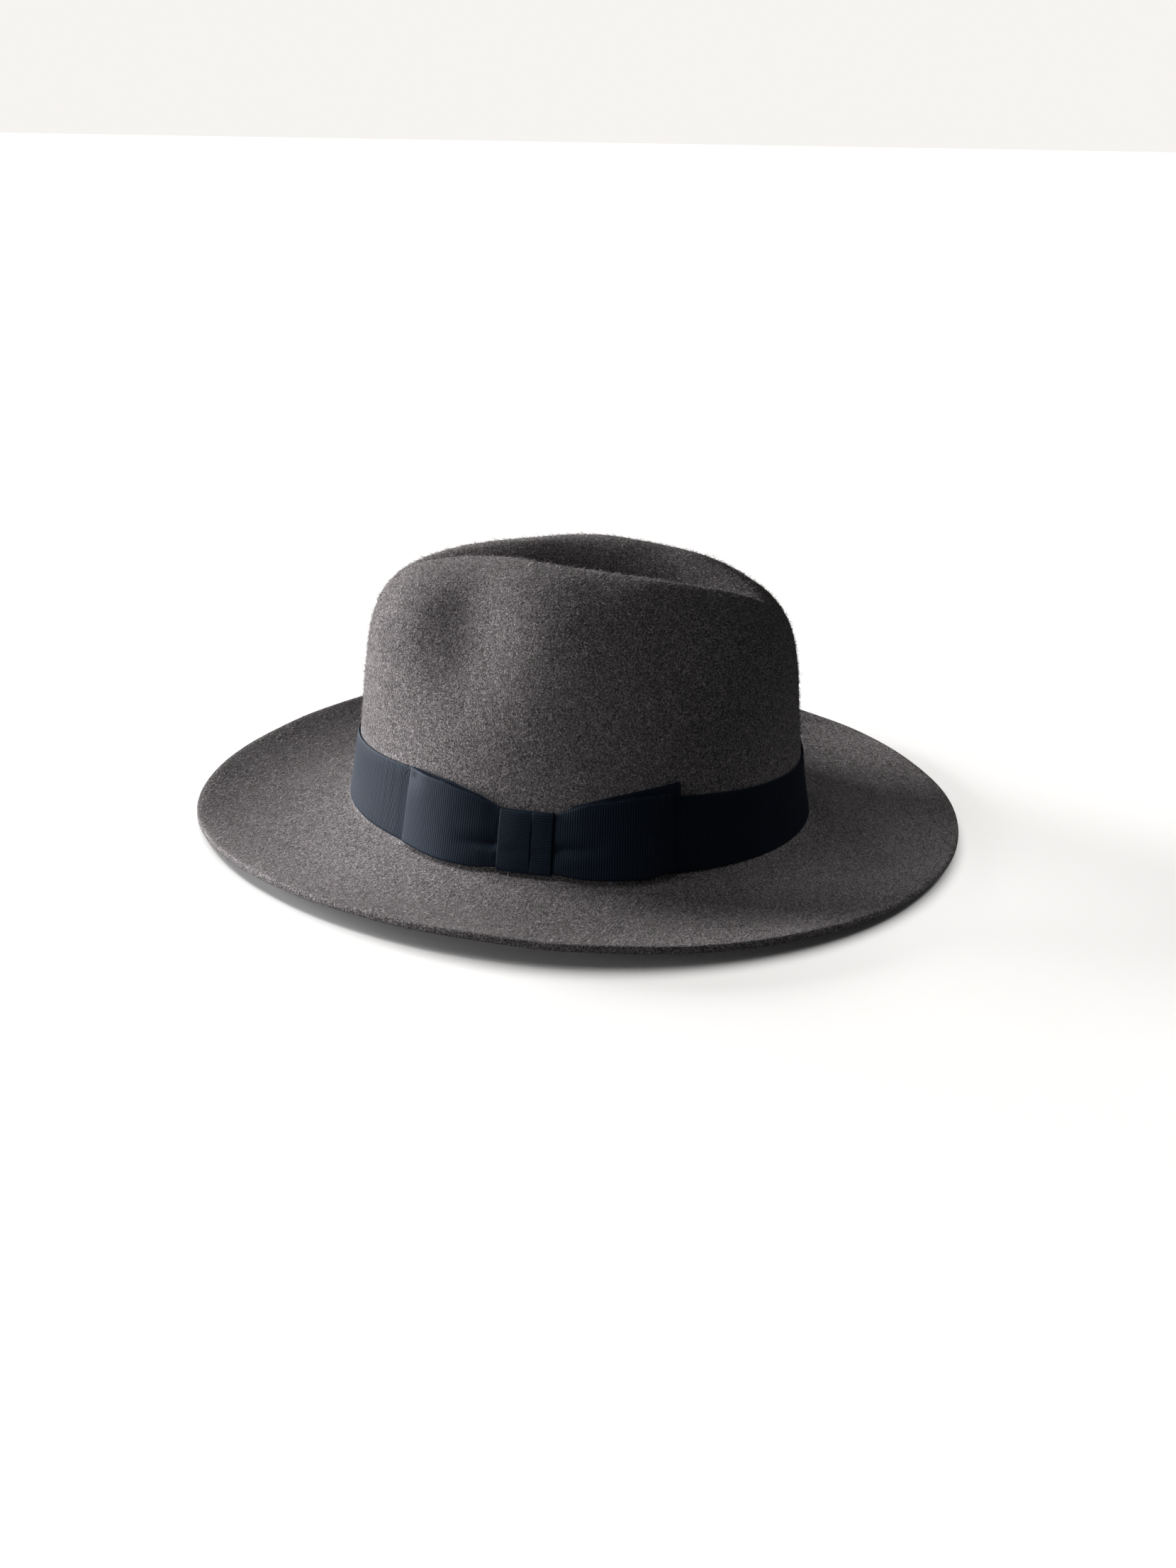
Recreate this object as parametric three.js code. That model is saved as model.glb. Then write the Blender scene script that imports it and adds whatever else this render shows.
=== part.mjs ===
// Soft-crowned felt fedora with a ribbon hatband, a flat side bow, a leather sweatband and a lining.
// Millimetres, +Z up. The front of the hat faces -Y and the bow is on +X, the wearer's left.
// The origin is in the middle of the surface that the brim rests on.
import * as THREE from 'three';
import { mergeVertices } from 'three/addons/utils/BufferGeometryUtils.js';

// ---------------------------------------------------------------- driving dimensions
const AROUND = 48; // steps round the hat
const END_CROWDING = 0.17; // how much closer together they are at its front and back
const BREAK_HEIGHT = 5.4; // the brim break, where crown and brim meet, above the resting surface

const CROWN = {
  halfWidth: 86,
  halfLength: 105,
  height: 114,
  endDrop: 0.14, // how much lower the top's front and back ends are, as a part of its height
  sideLean: 0.233, // how much the side walls come in for each millimetre up
  endLean: 0.188, // the same at the foot of the front and back walls
  endLeanFade: 63, // height over which the front and back walls turn upright
  sideCorner: 5, // powers of the rounding between wall and top: higher is squarer
  frontCorner: 8,
  backCorner: 8,
};
const DENT = {
  depth: 26,
  halfWidth: 10.5, // at its widest place, besides the rounding
  rounding: 4.5,
  widest: 26, // Y of the widest place
  toFront: 103, // lengths of its narrow front part and its blunt back part
  toBack: 63,
  taper: 1.5,
  wallPower: 2.3,
  backFade: 0.0035, // it gets shallower by this part for each millimetre back
};
const PINCH = { depth: 11, y: -36, height: 90, length: 22, tall: 26, blend: 18 };
const FELT = {
  crown: 2.4, // thickness
  brim: 3,
  breakRound: 1.6, // height over the break where the rounding into the brim starts
  breakReach: 0.025, // reach on the brim where it ends
  lip: 1.004, // how much the middle of the cut edge bulges
  insideStep: 8, // height of the first ring of points inside
};
const BRIM = {
  side: 66,
  front: 68.5,
  back: 65,
  dip: 0.184, // slope down from the break
  dipTurn: 0.029, // more slope at the back, less at the front
  edge: 3.4, // height of the edge over the break, with its waves round the brim below
  edgeRise: 0.5,
  edgeRoll: 3.5,
  edgeWave: -1.3,
};

const RIBBON = 0.7; // thickness of the grosgrain
const GAP = 0.3; // clearance between pieces that touch
const ARC_RADIUS = 104; // turns a distance along the band's left side into an angle
const BAND = {
  foot: 1,
  top: 34,
  underKnot: 21, // height of its top edge where the knot gathers it
  rise: 0.225, // how fast that edge climbs beside the knot
  slit: 0.012, // half the angle between its two ends, which meet under the knot
};
const KNOT = { front: -11.2, middle: 2.1, back: 11.2, wrapCrest: 5.8, turnCrest: 5.3 };

const LINING = { outer: -2.75, thickness: 0.35, loose: 1.8, foot: 15, seam: 0.52, seamGap: 0.006 };
const LEATHER = { outer: -3.45, inner: -4.55, foot: 2.8, top: 43, slit: 0.008 };
const REED = { offset: -4.5, height: 0.9, radius: 0.75, slit: 0.02 };
const TAPE = { thickness: 0.35, tail: 7, turnRadius: 1.45, slit: 0.015 };
const PIPING = { radius: 0.7, clearance: 1.1, slit: 0.01 };
const THREAD = 0.25; // radius of the sewing thread
const STITCHING = { aboveFoot: 2.2, slit: 0.03 };
const REAR_SEAM = { margin: 4, halfAngle: 0.02, stitches: 10 };
const TACK = { half: 1.2, belowEdge: 2, slope: 1.2 };
const SMALL_BOW = { half: 0.2, height: 8.5, radius: 95, loop: 12, waist: 2.2, flare: 1.6, knotHalf: 1.8 };

// ---------------------------------------------------------------- materials
function matte(colour, roughness) {
  return new THREE.MeshStandardMaterial({ color: colour, roughness, metalness: 0 });
}
const FELT_FINISH = matte(0x6b6866, 0.95);
const RIBBON_FINISH = matte(0x1a2130, 0.7);
const LEATHER_FINISH = matte(0x3a2a20, 0.55);
const SATIN_FINISH = matte(0x4a4a50, 0.4);
const TAPE_FINISH = matte(0x2a2624, 0.85);
const REED_FINISH = matte(0xd8d4c8, 0.4);
const THREAD_FINISH = matte(0x14171f, 0.8);

// ---------------------------------------------------------------- solids from points
/** Merges an indexed list of points into a closed geometry whose faces point out. */
function solid(points, quads, triangles = []) {
  const index = triangles.flat();
  for (const [a, b, c, d] of quads) index.push(a, b, c, a, c, d);
  let volume = 0;
  for (let i = 0; i < index.length; i += 3) {
    const [a, b, c] = [points[index[i]], points[index[i + 1]], points[index[i + 2]]];
    volume += a.dot(new THREE.Vector3().crossVectors(b, c));
  }
  if (volume < 0) index.reverse();
  const geometry = new THREE.BufferGeometry().setFromPoints(points);
  geometry.setIndex(index);
  geometry.computeVertexNormals();
  return geometry;
}

/** A closed solid from rings of points that run from one pole to the other. */
function poleToPole(startPole, rings, endPole) {
  const around = rings[0].length;
  const points = [startPole, ...rings.flat(), endPole];
  const last = points.length - 1;
  const quads = [];
  const triangles = [];
  for (let i = 0; i < around; i++) {
    const next = (i + 1) % around;
    triangles.push([0, 1 + next, 1 + i]);
    for (let r = 0; r < rings.length - 1; r++) {
      const here = 1 + r * around;
      quads.push([here + i, here + next, here + around + next, here + around + i]);
    }
    triangles.push([last, last - around + i, last - around + next]);
  }
  return solid(points, quads, triangles);
}

/** A closed solid between two matching grids of points, which may close round into a ring. */
function thickSheet(front, back, ring = false) {
  const columns = front.length;
  const rows = front[0].length;
  const points = [...front.flat(), ...back.flat()];
  const f = (i, j) => (i % columns) * rows + j;
  const b = (i, j) => columns * rows + f(i, j);
  const quads = [];
  const steps = ring ? columns : columns - 1;
  for (let i = 0; i < steps; i++) {
    for (let j = 0; j < rows - 1; j++) {
      quads.push([f(i, j), f(i + 1, j), f(i + 1, j + 1), f(i, j + 1)]);
      quads.push([b(i, j + 1), b(i + 1, j + 1), b(i + 1, j), b(i, j)]);
    }
    const top = rows - 1;
    quads.push([f(i + 1, 0), f(i, 0), b(i, 0), b(i + 1, 0)]);
    quads.push([f(i, top), f(i + 1, top), b(i + 1, top), b(i, top)]);
  }
  if (!ring) {
    const end = columns - 1;
    for (let j = 0; j < rows - 1; j++) {
      quads.push([f(0, j), f(0, j + 1), b(0, j + 1), b(0, j)]);
      quads.push([f(end, j + 1), f(end, j), b(end, j), b(end, j + 1)]);
    }
  }
  return solid(points, quads);
}

/** A solid round cord along a curve. */
function cord(curve, radius, sides, steps) {
  const section = new THREE.Shape();
  for (let i = 0; i < sides; i++) {
    const angle = (2 * Math.PI * i) / sides;
    const [x, y] = [radius * Math.cos(angle), radius * Math.sin(angle)];
    if (i === 0) section.moveTo(x, y);
    else section.lineTo(x, y);
  }
  const tube = new THREE.ExtrudeGeometry(section, { steps, extrudePath: curve, bevelEnabled: false });
  tube.deleteAttribute('normal');
  tube.deleteAttribute('uv');
  return mergeVertices(tube, 1e-4);
}

/** Evenly spaced numbers from start to end. */
function spread(start, end, steps) {
  return Array.from({ length: steps + 1 }, (_, i) => start + ((end - start) * i) / steps);
}

/** Angles between two others, closer together at the hat's front and back, where it bends most. */
function turnSteps(start, end, steps) {
  return spread(start, end, steps).map((angle) => angle + END_CROWDING * Math.sin(2 * angle));
}

/** Angles round the whole hat. */
function roundTheHat() {
  return turnSteps(0, 2 * Math.PI, AROUND).slice(0, -1);
}

// ---------------------------------------------------------------- the shape of the felt
/** Squareness of the crown's shoulder at an angle round the hat. */
function cornerPower(theta) {
  const side = Math.sin(theta);
  const end = side < 0 ? CROWN.frontCorner : CROWN.backCorner;
  return CROWN.sideCorner + (end - CROWN.sideCorner) * side ** 4;
}

/** Depth of the teardrop dent: a point in front, wider and shallower behind. */
function dentDepth(x, y) {
  const length = y < DENT.widest ? DENT.toFront : DENT.toBack;
  const opening = Math.max(1 - ((y - DENT.widest) / length) ** 2, 0) ** DENT.taper;
  const halfWidth = DENT.halfWidth * opening + DENT.rounding;
  const depth = DENT.depth * opening * (1 - DENT.backFade * Math.max(y, 0));
  return depth * Math.exp(-(Math.abs(x / halfWidth) ** DENT.wallPower));
}

/** How far the two soft pinches push the wall in at a place on it. */
function pinchDepth(y, height) {
  const along = Math.exp(-(((y - PINCH.y) / PINCH.length) ** 2));
  const upward = Math.exp(-(((height - PINCH.height) / PINCH.tall) ** 2));
  return PINCH.depth * along * upward;
}

/** Outer face of the crown: climb is 0 at the brim break and 1 in the middle of the top. */
function crownPoint(theta, climb) {
  const power = cornerPower(theta);
  const turn = (climb * Math.PI) / 2;
  const [across, upward] = [Math.abs(Math.cos(turn)), Math.abs(Math.sin(turn))];
  const size = (across ** power + upward ** power) ** (-1 / power);
  const [reach, level] = [across * size, upward * size];
  let height = CROWN.height * level;
  const uprightness = 1 - Math.exp(-height / CROWN.endLeanFade);
  const halfWidth = CROWN.halfWidth - CROWN.sideLean * height;
  const halfLength = CROWN.halfLength - CROWN.endLean * CROWN.endLeanFade * uprightness;
  let x = halfWidth * reach * Math.cos(theta);
  const y = halfLength * reach * Math.sin(theta);
  height *= 1 - CROWN.endDrop * (y / 100) ** 2;
  height -= dentDepth(x, y) * level ** 6;
  x -= pinchDepth(y, height) * Math.tanh(x / PINCH.blend);
  return new THREE.Vector3(x, y, BREAK_HEIGHT + height);
}

/** Outward direction of the crown's face. */
function crownNormal(theta, climb) {
  const small = 1e-3;
  const at = Math.min(Math.max(climb, small), 1 - 2 * small);
  const sideways = crownPoint(theta + small, at).sub(crownPoint(theta - small, at));
  const up = crownPoint(theta, at + small).sub(crownPoint(theta, at - small));
  return sideways.cross(up).normalize();
}

/** A point on the crown, moved out of its face by offset, or into the hat when it is negative. */
function crownLayer(theta, climb, offset) {
  return crownPoint(theta, climb).addScaledVector(crownNormal(theta, climb), offset);
}

/** The middle of the top, moved up or down by offset. */
function crownPole(offset) {
  return crownPoint(0, 1).add(new THREE.Vector3(0, 0, offset));
}

/** The climb at which the upright wall reaches a height over the break. */
function climbAt(theta, height) {
  const power = cornerPower(theta);
  const level = height / CROWN.height;
  const reach = (1 - Math.max(level, 0) ** power) ** (1 / power);
  return (Math.atan2(level, reach) * 2) / Math.PI;
}

/** A point on the crown's wall by its height over the break. */
function wallLayer(theta, height, offset) {
  return crownLayer(theta, climbAt(theta, height), offset);
}

/** Upper face of the brim: reach is 0 at the break and 1 at the edge. */
function brimPoint(theta, reach) {
  const [c, s] = [Math.cos(theta), Math.sin(theta)];
  const endWidth = s < 0 ? BRIM.front : BRIM.back;
  const width = BRIM.side + (endWidth - BRIM.side) * s * s;
  const dip = BRIM.dip + BRIM.dipTurn * s;
  const edge = BRIM.edge + BRIM.edgeRise * s + BRIM.edgeRoll * Math.cos(2 * theta)
    + BRIM.edgeWave * Math.sin(3 * theta);
  const height = width * dip * (reach * reach - reach) + edge * reach * reach;
  return new THREE.Vector3(
    (CROWN.halfWidth + width * reach) * c,
    (CROWN.halfLength + width * reach) * s,
    BREAK_HEIGHT + height,
  );
}

/** Lower face of the brim, flat where it rests. */
function brimUnderside(theta, reach) {
  const point = brimPoint(theta, reach);
  point.z = Math.max(point.z - FELT.brim, 0);
  return point;
}

// ---------------------------------------------------------------- felt body
/** Points round a bend from start to end, without start and end themselves. */
function bend(start, corner, end) {
  const curve = new THREE.QuadraticBezierCurve3(start, corner, end);
  return [curve.getPoint(1 / 3), curve.getPoint(2 / 3)];
}

/** The climbs of the lining's side wall, which the felt's inner face shares so that they nest. */
function wallClimbs(theta) {
  return spread(climbAt(theta, LINING.foot), LINING.seam, 8);
}

/** The climbs from a seam to the middle of the top, without the middle itself. */
function tipClimbs(seam) {
  return spread(seam, 1, 10).slice(0, -1);
}

/** One half section of the felt, from the top's outer face round the brim to its inner face. */
function feltSection(theta) {
  const foot = climbAt(theta, FELT.breakRound);
  const outerClimbs = spread(1, foot, 20).slice(1);
  const lowClimbs = [foot, climbAt(theta, FELT.insideStep)];
  const innerClimbs = [...lowClimbs, ...wallClimbs(theta), ...tipClimbs(LINING.seam).slice(1)];
  const reaches = spread(FELT.breakReach, 1, 6);
  const outer = outerClimbs.map((climb) => crownPoint(theta, climb));
  const upper = reaches.map((reach) => brimPoint(theta, reach));
  const lower = [...reaches].reverse().map((reach) => brimUnderside(theta, reach));
  const inner = innerClimbs.map((climb) => crownLayer(theta, climb, -FELT.crown));
  const lip = upper.at(-1).clone().lerp(lower[0], 0.5);
  lip.x *= FELT.lip;
  lip.y *= FELT.lip;
  const innerCorner = wallLayer(theta, 0, -FELT.crown);
  innerCorner.z -= FELT.brim;
  return [
    ...outer,
    ...bend(outer.at(-1), crownPoint(theta, 0), upper[0]),
    ...upper,
    lip,
    ...lower,
    ...bend(lower.at(-1), innerCorner, inner[0]),
    ...inner,
  ];
}

function turnSections(section) {
  const sections = roundTheHat().map(section);
  return sections[0].map((_, ring) => sections.map((points) => points[ring]));
}

function feltBody() {
  return poleToPole(crownPole(0), turnSections(feltSection), crownPole(-FELT.crown));
}

// ---------------------------------------------------------------- sheets that follow the wall
/** Angles round the hat that start and end beside a slit at its side or rear. */
function openRound(slitAngle, halfSlit) {
  const angles = turnSteps(slitAngle, slitAngle + 2 * Math.PI, AROUND);
  return [angles[0] + halfSlit, ...angles.slice(1, -1), angles.at(-1) - halfSlit];
}

/** Height of the hatband's top edge: it runs level, and down to the knot behind the bow. */
function bandTop(theta) {
  const fromKnot = ARC_RADIUS * Math.min(theta, 2 * Math.PI - theta);
  return Math.min(BAND.top, BAND.underKnot + BAND.rise * fromKnot);
}

function hatband() {
  const grid = (offset) => openRound(0, BAND.slit).map((theta) => (
    spread(BAND.foot, bandTop(theta), 3).map((height) => wallLayer(theta, height, offset))));
  return thickSheet(grid(GAP + RIBBON), grid(GAP));
}

const REAR = Math.PI / 2;

function sweatband() {
  const heights = spread(LEATHER.foot, LEATHER.top, 3);
  const grid = (offset) => openRound(REAR, LEATHER.slit).map((theta) => (
    heights.map((height) => wallLayer(theta, height, offset))));
  return thickSheet(grid(LEATHER.outer), grid(LEATHER.inner));
}

/** A closed curve or an open one round the hat at one height and offset. */
function roundCurve(height, offset, slitAngle, halfSlit) {
  const thetas = openRound(slitAngle, halfSlit);
  return new THREE.CatmullRomCurve3(thetas.map((theta) => wallLayer(theta, height, offset)));
}

function sweatbandReed() {
  return cord(roundCurve(REED.height, REED.offset, REAR, REED.slit), REED.radius, 6, AROUND);
}

/** Cloth tape: a tail against the felt, then a turn under and round the reed. */
function reedTape() {
  const turn = spread(0, -Math.PI, 5).map((angle) => [
    REED.offset + TAPE.turnRadius * Math.cos(angle),
    REED.height + TAPE.turnRadius * Math.sin(angle),
    Math.cos(angle),
    Math.sin(angle),
  ]);
  const tail = [REED.offset + TAPE.turnRadius, TAPE.tail, 1, 0];
  const profile = [tail, ...turn];
  const half = TAPE.thickness / 2;
  const grid = (side) => openRound(REAR, TAPE.slit).map((theta) => profile.map(([d, z, nd, nz]) => {
    const point = wallLayer(theta, Math.max(z, 0), d + nd * side * half);
    point.z += Math.min(z, 0) + nz * side * half;
    return point;
  }));
  return thickSheet(grid(1), grid(-1));
}

function sweatbandStitching() {
  const offset = LEATHER.inner - GAP - THREAD;
  const curve = roundCurve(LEATHER.foot + STITCHING.aboveFoot, offset, REAR, STITCHING.slit);
  return cord(curve, THREAD, 4, AROUND);
}

/** Zigzag thread that draws the sweatband's two ends together. */
function rearSeamThread() {
  const [low, high] = [LEATHER.foot + REAR_SEAM.margin, LEATHER.top - REAR_SEAM.margin];
  const points = spread(low, high, REAR_SEAM.stitches).map((height, i) => {
    const theta = REAR + (i % 2 ? REAR_SEAM.halfAngle : -REAR_SEAM.halfAngle);
    return wallLayer(theta, height, LEATHER.inner - GAP - THREAD);
  });
  return cord(new THREE.CatmullRomCurve3(points, false, 'catmullrom', 0.1), THREAD, 4, 40);
}

// ---------------------------------------------------------------- lining
/** A point on the lining, which hangs looser towards the top; depth is measured from its outer face. */
function liningPoint(theta, climb, depth) {
  const foot = climbAt(theta, LINING.foot);
  const rise = Math.min((climb - foot) / (LINING.seam - foot), 1);
  return crownLayer(theta, climb, LINING.outer - LINING.loose * rise ** 3 - depth);
}

/** Side wall of the lining, from behind the sweatband up to the seam at the tip. */
function liningWall() {
  const grid = (depth) => roundTheHat().map((theta) => (
    wallClimbs(theta).map((climb) => liningPoint(theta, climb, depth))));
  return thickSheet(grid(0), grid(LINING.thickness), true);
}

/** Top panel of the lining. */
function liningTip() {
  const climbs = tipClimbs(LINING.seam + LINING.seamGap).reverse();
  const rings = (order, depth) => order.map((climb) => (
    roundTheHat().map((theta) => liningPoint(theta, climb, depth))));
  const outer = rings(climbs, 0);
  const inner = rings([...climbs].reverse(), LINING.thickness);
  const topOffset = LINING.outer - LINING.loose;
  return poleToPole(crownPole(topOffset), [...outer, ...inner], crownPole(topOffset - LINING.thickness));
}

function liningPiping() {
  const points = openRound(REAR, PIPING.slit).map((theta) => (
    liningPoint(theta, LINING.seam, LINING.thickness + PIPING.clearance)));
  return cord(new THREE.CatmullRomCurve3(points), PIPING.radius, 5, AROUND);
}

// ---------------------------------------------------------------- bow
/** A place on the hat's left wall by the distance along the band, height and offset. */
function onSide(along, height, offset) {
  return wallLayer(along / ARC_RADIUS, height, offset);
}

/**
 * A strip of ribbon that follows a smooth path. The path runs in the plane of distance along the
 * band and offset from the felt, and edges gives the strip's lower and upper edge at a distance.
 */
function ribbonLoop(pathPoints, edges, steps) {
  const path = new THREE.SplineCurve(pathPoints.map(([along, offset]) => new THREE.Vector2(along, offset)));
  const side = (sign) => spread(0, 1, steps).map((u) => {
    const place = path.getPoint(u);
    const tangent = path.getTangent(u);
    const along = place.x - (tangent.y * sign * RIBBON) / 2;
    const offset = place.y + (tangent.x * sign * RIBBON) / 2;
    const [low, high] = edges(place.x);
    return spread(low, high, 3).map((height) => onSide(along, height, offset));
  });
  return thickSheet(side(1), side(-1));
}

/** Edges of a strip from stations of distance along the band, lower edge and upper edge. */
function edgesThrough(stations) {
  return (along) => {
    const reach = Math.abs(along);
    const next = stations.findIndex((station) => station[0] > reach);
    if (next < 1) return next < 0 ? stations.at(-1).slice(1) : stations[0].slice(1);
    const [from, to] = [stations[next - 1], stations[next]];
    const part = (reach - from[0]) / (to[0] - from[0]);
    return [from[1] + (to[1] - from[1]) * part, from[2] + (to[2] - from[2]) * part];
  };
}

function bowFrontLoop() {
  const path = [
    [-0.4, 3], [-6, 3.1], [-13, 3.5], [-20, 5.2], [-32, 6.2], [-46, 5.6], [-56, 4.2], [-59, 2.9],
    [-55, 1.75], [-30, 1.7], [-0.4, 1.7],
  ];
  const edges = edgesThrough([
    [0, 2.2, 22.8], [13, 2.1, 23.8], [17, 0.9, 27.5], [22, 0.6, 29.3], [37, 0.6, 32.6], [59, 2, 34.8],
  ]);
  return ribbonLoop(path, edges, 28);
}

function bowRearLoop() {
  const path = [
    [0.4, 3.75], [6, 3.8], [13, 4], [23, 5.9], [36, 6.8], [50, 6.2], [58, 5], [60.3, 3.9], [56, 2.75],
    [30, 2.7], [0.4, 2.7],
  ];
  const edges = edgesThrough([
    [0, 2.2, 22.8], [13, 2.1, 23.8], [17, 0.9, 28], [24, 0.6, 30.6], [40, 0.5, 33.4], [48, 0.5, 34.3],
    [60, 3, 35.4],
  ]);
  return ribbonLoop(path, edges, 28);
}

function bowTail() {
  const path = [[0.4, 1.65], [25, 1.65], [45, 1.65], [64.5, 1.75]];
  const edges = edgesThrough([
    [0, 2.2, 22.8], [13, 2.1, 23.8], [17.5, 1.5, 28.9], [34, 1.5, 33.8], [63, 1.6, 40.1],
  ]);
  return ribbonLoop(path, edges, 16);
}

/** A narrow ribbon wrapped over the middle of the bow, from behind its top to behind its foot. */
function knotStrip(start, end, crest) {
  const path = new THREE.SplineCurve([
    [25.2, 1.7], [25.9, 3.3], [25, 4.9], [19, crest - 0.2], [12.5, crest], [6.5, crest - 0.2],
    [1.9, 4.9], [0.8, 3.3], [1.3, 1.7],
  ].map(([height, offset]) => new THREE.Vector2(height, offset)));
  const side = (sign) => spread(0, 1, 20).map((u) => {
    const place = path.getPoint(u);
    const tangent = path.getTangent(u);
    const height = place.x - (tangent.y * sign * RIBBON) / 2;
    const offset = place.y + (tangent.x * sign * RIBBON) / 2;
    return spread(start, end, 3).map((along) => onSide(along, height, offset));
  });
  return thickSheet(side(1), side(-1));
}

/** A short straight stitch lying on the ribbon, drawn to a point at both ends. */
function tack(theta, height, offset, slope) {
  const reach = (sign) => {
    const turn = (sign * TACK.half * Math.cos(slope)) / ARC_RADIUS;
    const rise = sign * TACK.half * Math.sin(slope);
    return wallLayer(theta + turn, height + rise, offset + GAP + THREAD);
  };
  return cord(new THREE.LineCurve3(reach(-1), reach(1)), THREAD, 6, 2);
}

// ---------------------------------------------------------------- bow on the sweatband's rear seam
/** A place on the inside of the sweatband's rear: across is measured from the seam. */
function insideRear(across, height, depth) {
  return wallLayer(REAR + across / SMALL_BOW.radius, height, LEATHER.inner - GAP - depth);
}

function sweatbandBowLoops() {
  const path = new THREE.SplineCurve([
    [0.4, 1.2], [6, 1.2], [10.5, 1.5], [12, 2.2], [10.5, 2.9], [6, 2.9], [0, 2.6],
    [-6, 2.9], [-10.5, 2.9], [-12, 2.2], [-10.5, 1.5], [-6, 1.2], [-0.4, 1.2],
  ].map(([across, depth]) => new THREE.Vector2(across, depth)));
  const side = (sign) => spread(0, 1, 26).map((u) => {
    const place = path.getPoint(u);
    const tangent = path.getTangent(u);
    const across = place.x - tangent.y * sign * SMALL_BOW.half;
    const depth = place.y + tangent.x * sign * SMALL_BOW.half;
    const tall = SMALL_BOW.waist + SMALL_BOW.flare * Math.abs(place.x / SMALL_BOW.loop);
    const heights = spread(SMALL_BOW.height - tall, SMALL_BOW.height + tall, 2);
    return heights.map((height) => insideRear(across, height, depth));
  });
  return thickSheet(side(1), side(-1));
}

function sweatbandBowKnot() {
  const path = new THREE.SplineCurve([
    [11.7, 0.9], [12, 2], [10.9, 3.3], [8.5, 3.5], [6.1, 3.3], [5, 2], [5.3, 0.9],
  ].map(([height, depth]) => new THREE.Vector2(height, depth)));
  const side = (sign) => spread(0, 1, 14).map((u) => {
    const place = path.getPoint(u);
    const tangent = path.getTangent(u);
    const height = place.x - tangent.y * sign * SMALL_BOW.half;
    const depth = place.y + tangent.x * sign * SMALL_BOW.half;
    const width = spread(-SMALL_BOW.knotHalf, SMALL_BOW.knotHalf, 2);
    return width.map((across) => insideRear(across, height, depth));
  });
  return thickSheet(side(1), side(-1));
}

// ---------------------------------------------------------------- the hat
const hat = new THREE.Group();
hat.position.y = (BRIM.front - BRIM.back) / 2; // puts the middle of the brim over the origin

function piece(name, geometry, finish) {
  const mesh = new THREE.Mesh(geometry, finish);
  mesh.name = name;
  hat.add(mesh);
}

piece('felt_body', feltBody(), FELT_FINISH);
piece('hatband_ribbon', hatband(), RIBBON_FINISH);
piece('bow_front_loop', bowFrontLoop(), RIBBON_FINISH);
piece('bow_rear_loop', bowRearLoop(), RIBBON_FINISH);
piece('bow_tail', bowTail(), RIBBON_FINISH);
piece('bow_knot_wrap', knotStrip(KNOT.front, KNOT.middle, KNOT.wrapCrest), RIBBON_FINISH);
piece('bow_knot_turn', knotStrip(KNOT.middle + GAP, KNOT.back, KNOT.turnCrest), RIBBON_FINISH);
piece('sweatband', sweatband(), LEATHER_FINISH);
piece('sweatband_reed', sweatbandReed(), REED_FINISH);
piece('reed_tape', reedTape(), TAPE_FINISH);
piece('sweatband_stitching', sweatbandStitching(), THREAD_FINISH);
piece('sweatband_seam_thread', rearSeamThread(), THREAD_FINISH);
piece('sweatband_bow_loops', sweatbandBowLoops(), RIBBON_FINISH);
piece('sweatband_bow_knot', sweatbandBowKnot(), RIBBON_FINISH);
piece('lining_wall', liningWall(), SATIN_FINISH);
piece('lining_tip', liningTip(), SATIN_FINISH);
piece('lining_piping', liningPiping(), TAPE_FINISH);

piece('bow_tack_front', tack(-0.57, 32.5, 4.6, 0.9), THREAD_FINISH);
const tackHeight = BAND.top - TACK.belowEdge;
piece('band_tack_front', tack(-REAR, tackHeight, GAP + RIBBON, TACK.slope), THREAD_FINISH);
piece('band_tack_right', tack(2 * REAR, tackHeight, GAP + RIBBON, TACK.slope), THREAD_FINISH);
piece('band_tack_back', tack(REAR, tackHeight, GAP + RIBBON, TACK.slope), THREAD_FINISH);

export default hat;
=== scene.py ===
"""The looks of a felt fedora: felt with nap, grosgrain band and bow, sweatband, lining, and the studio."""

import math

import bpy
import numpy as np
from mathutils import Matrix, Vector


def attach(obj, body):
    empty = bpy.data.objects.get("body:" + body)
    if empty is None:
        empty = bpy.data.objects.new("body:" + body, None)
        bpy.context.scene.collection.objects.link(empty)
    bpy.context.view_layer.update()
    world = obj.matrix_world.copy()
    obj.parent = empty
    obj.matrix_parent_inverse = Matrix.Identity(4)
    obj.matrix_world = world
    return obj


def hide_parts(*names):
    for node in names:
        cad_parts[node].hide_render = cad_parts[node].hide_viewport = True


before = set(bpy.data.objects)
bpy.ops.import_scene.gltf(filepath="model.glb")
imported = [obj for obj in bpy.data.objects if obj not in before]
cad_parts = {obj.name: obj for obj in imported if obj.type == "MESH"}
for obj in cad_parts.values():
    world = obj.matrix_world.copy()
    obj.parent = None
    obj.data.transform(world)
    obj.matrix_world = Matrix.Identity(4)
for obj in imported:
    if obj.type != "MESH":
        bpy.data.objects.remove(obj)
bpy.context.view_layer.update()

MM = 0.001  # the shapes below are worked out in millimetres, in the frame of the CAD model
TAU = 2 * math.pi
SIDE_Y = 1.75  # Y of the middle of the crown: the origin is under the middle of the brim
BREAK_HEIGHT = 5.4  # the brim break over the floor

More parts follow.
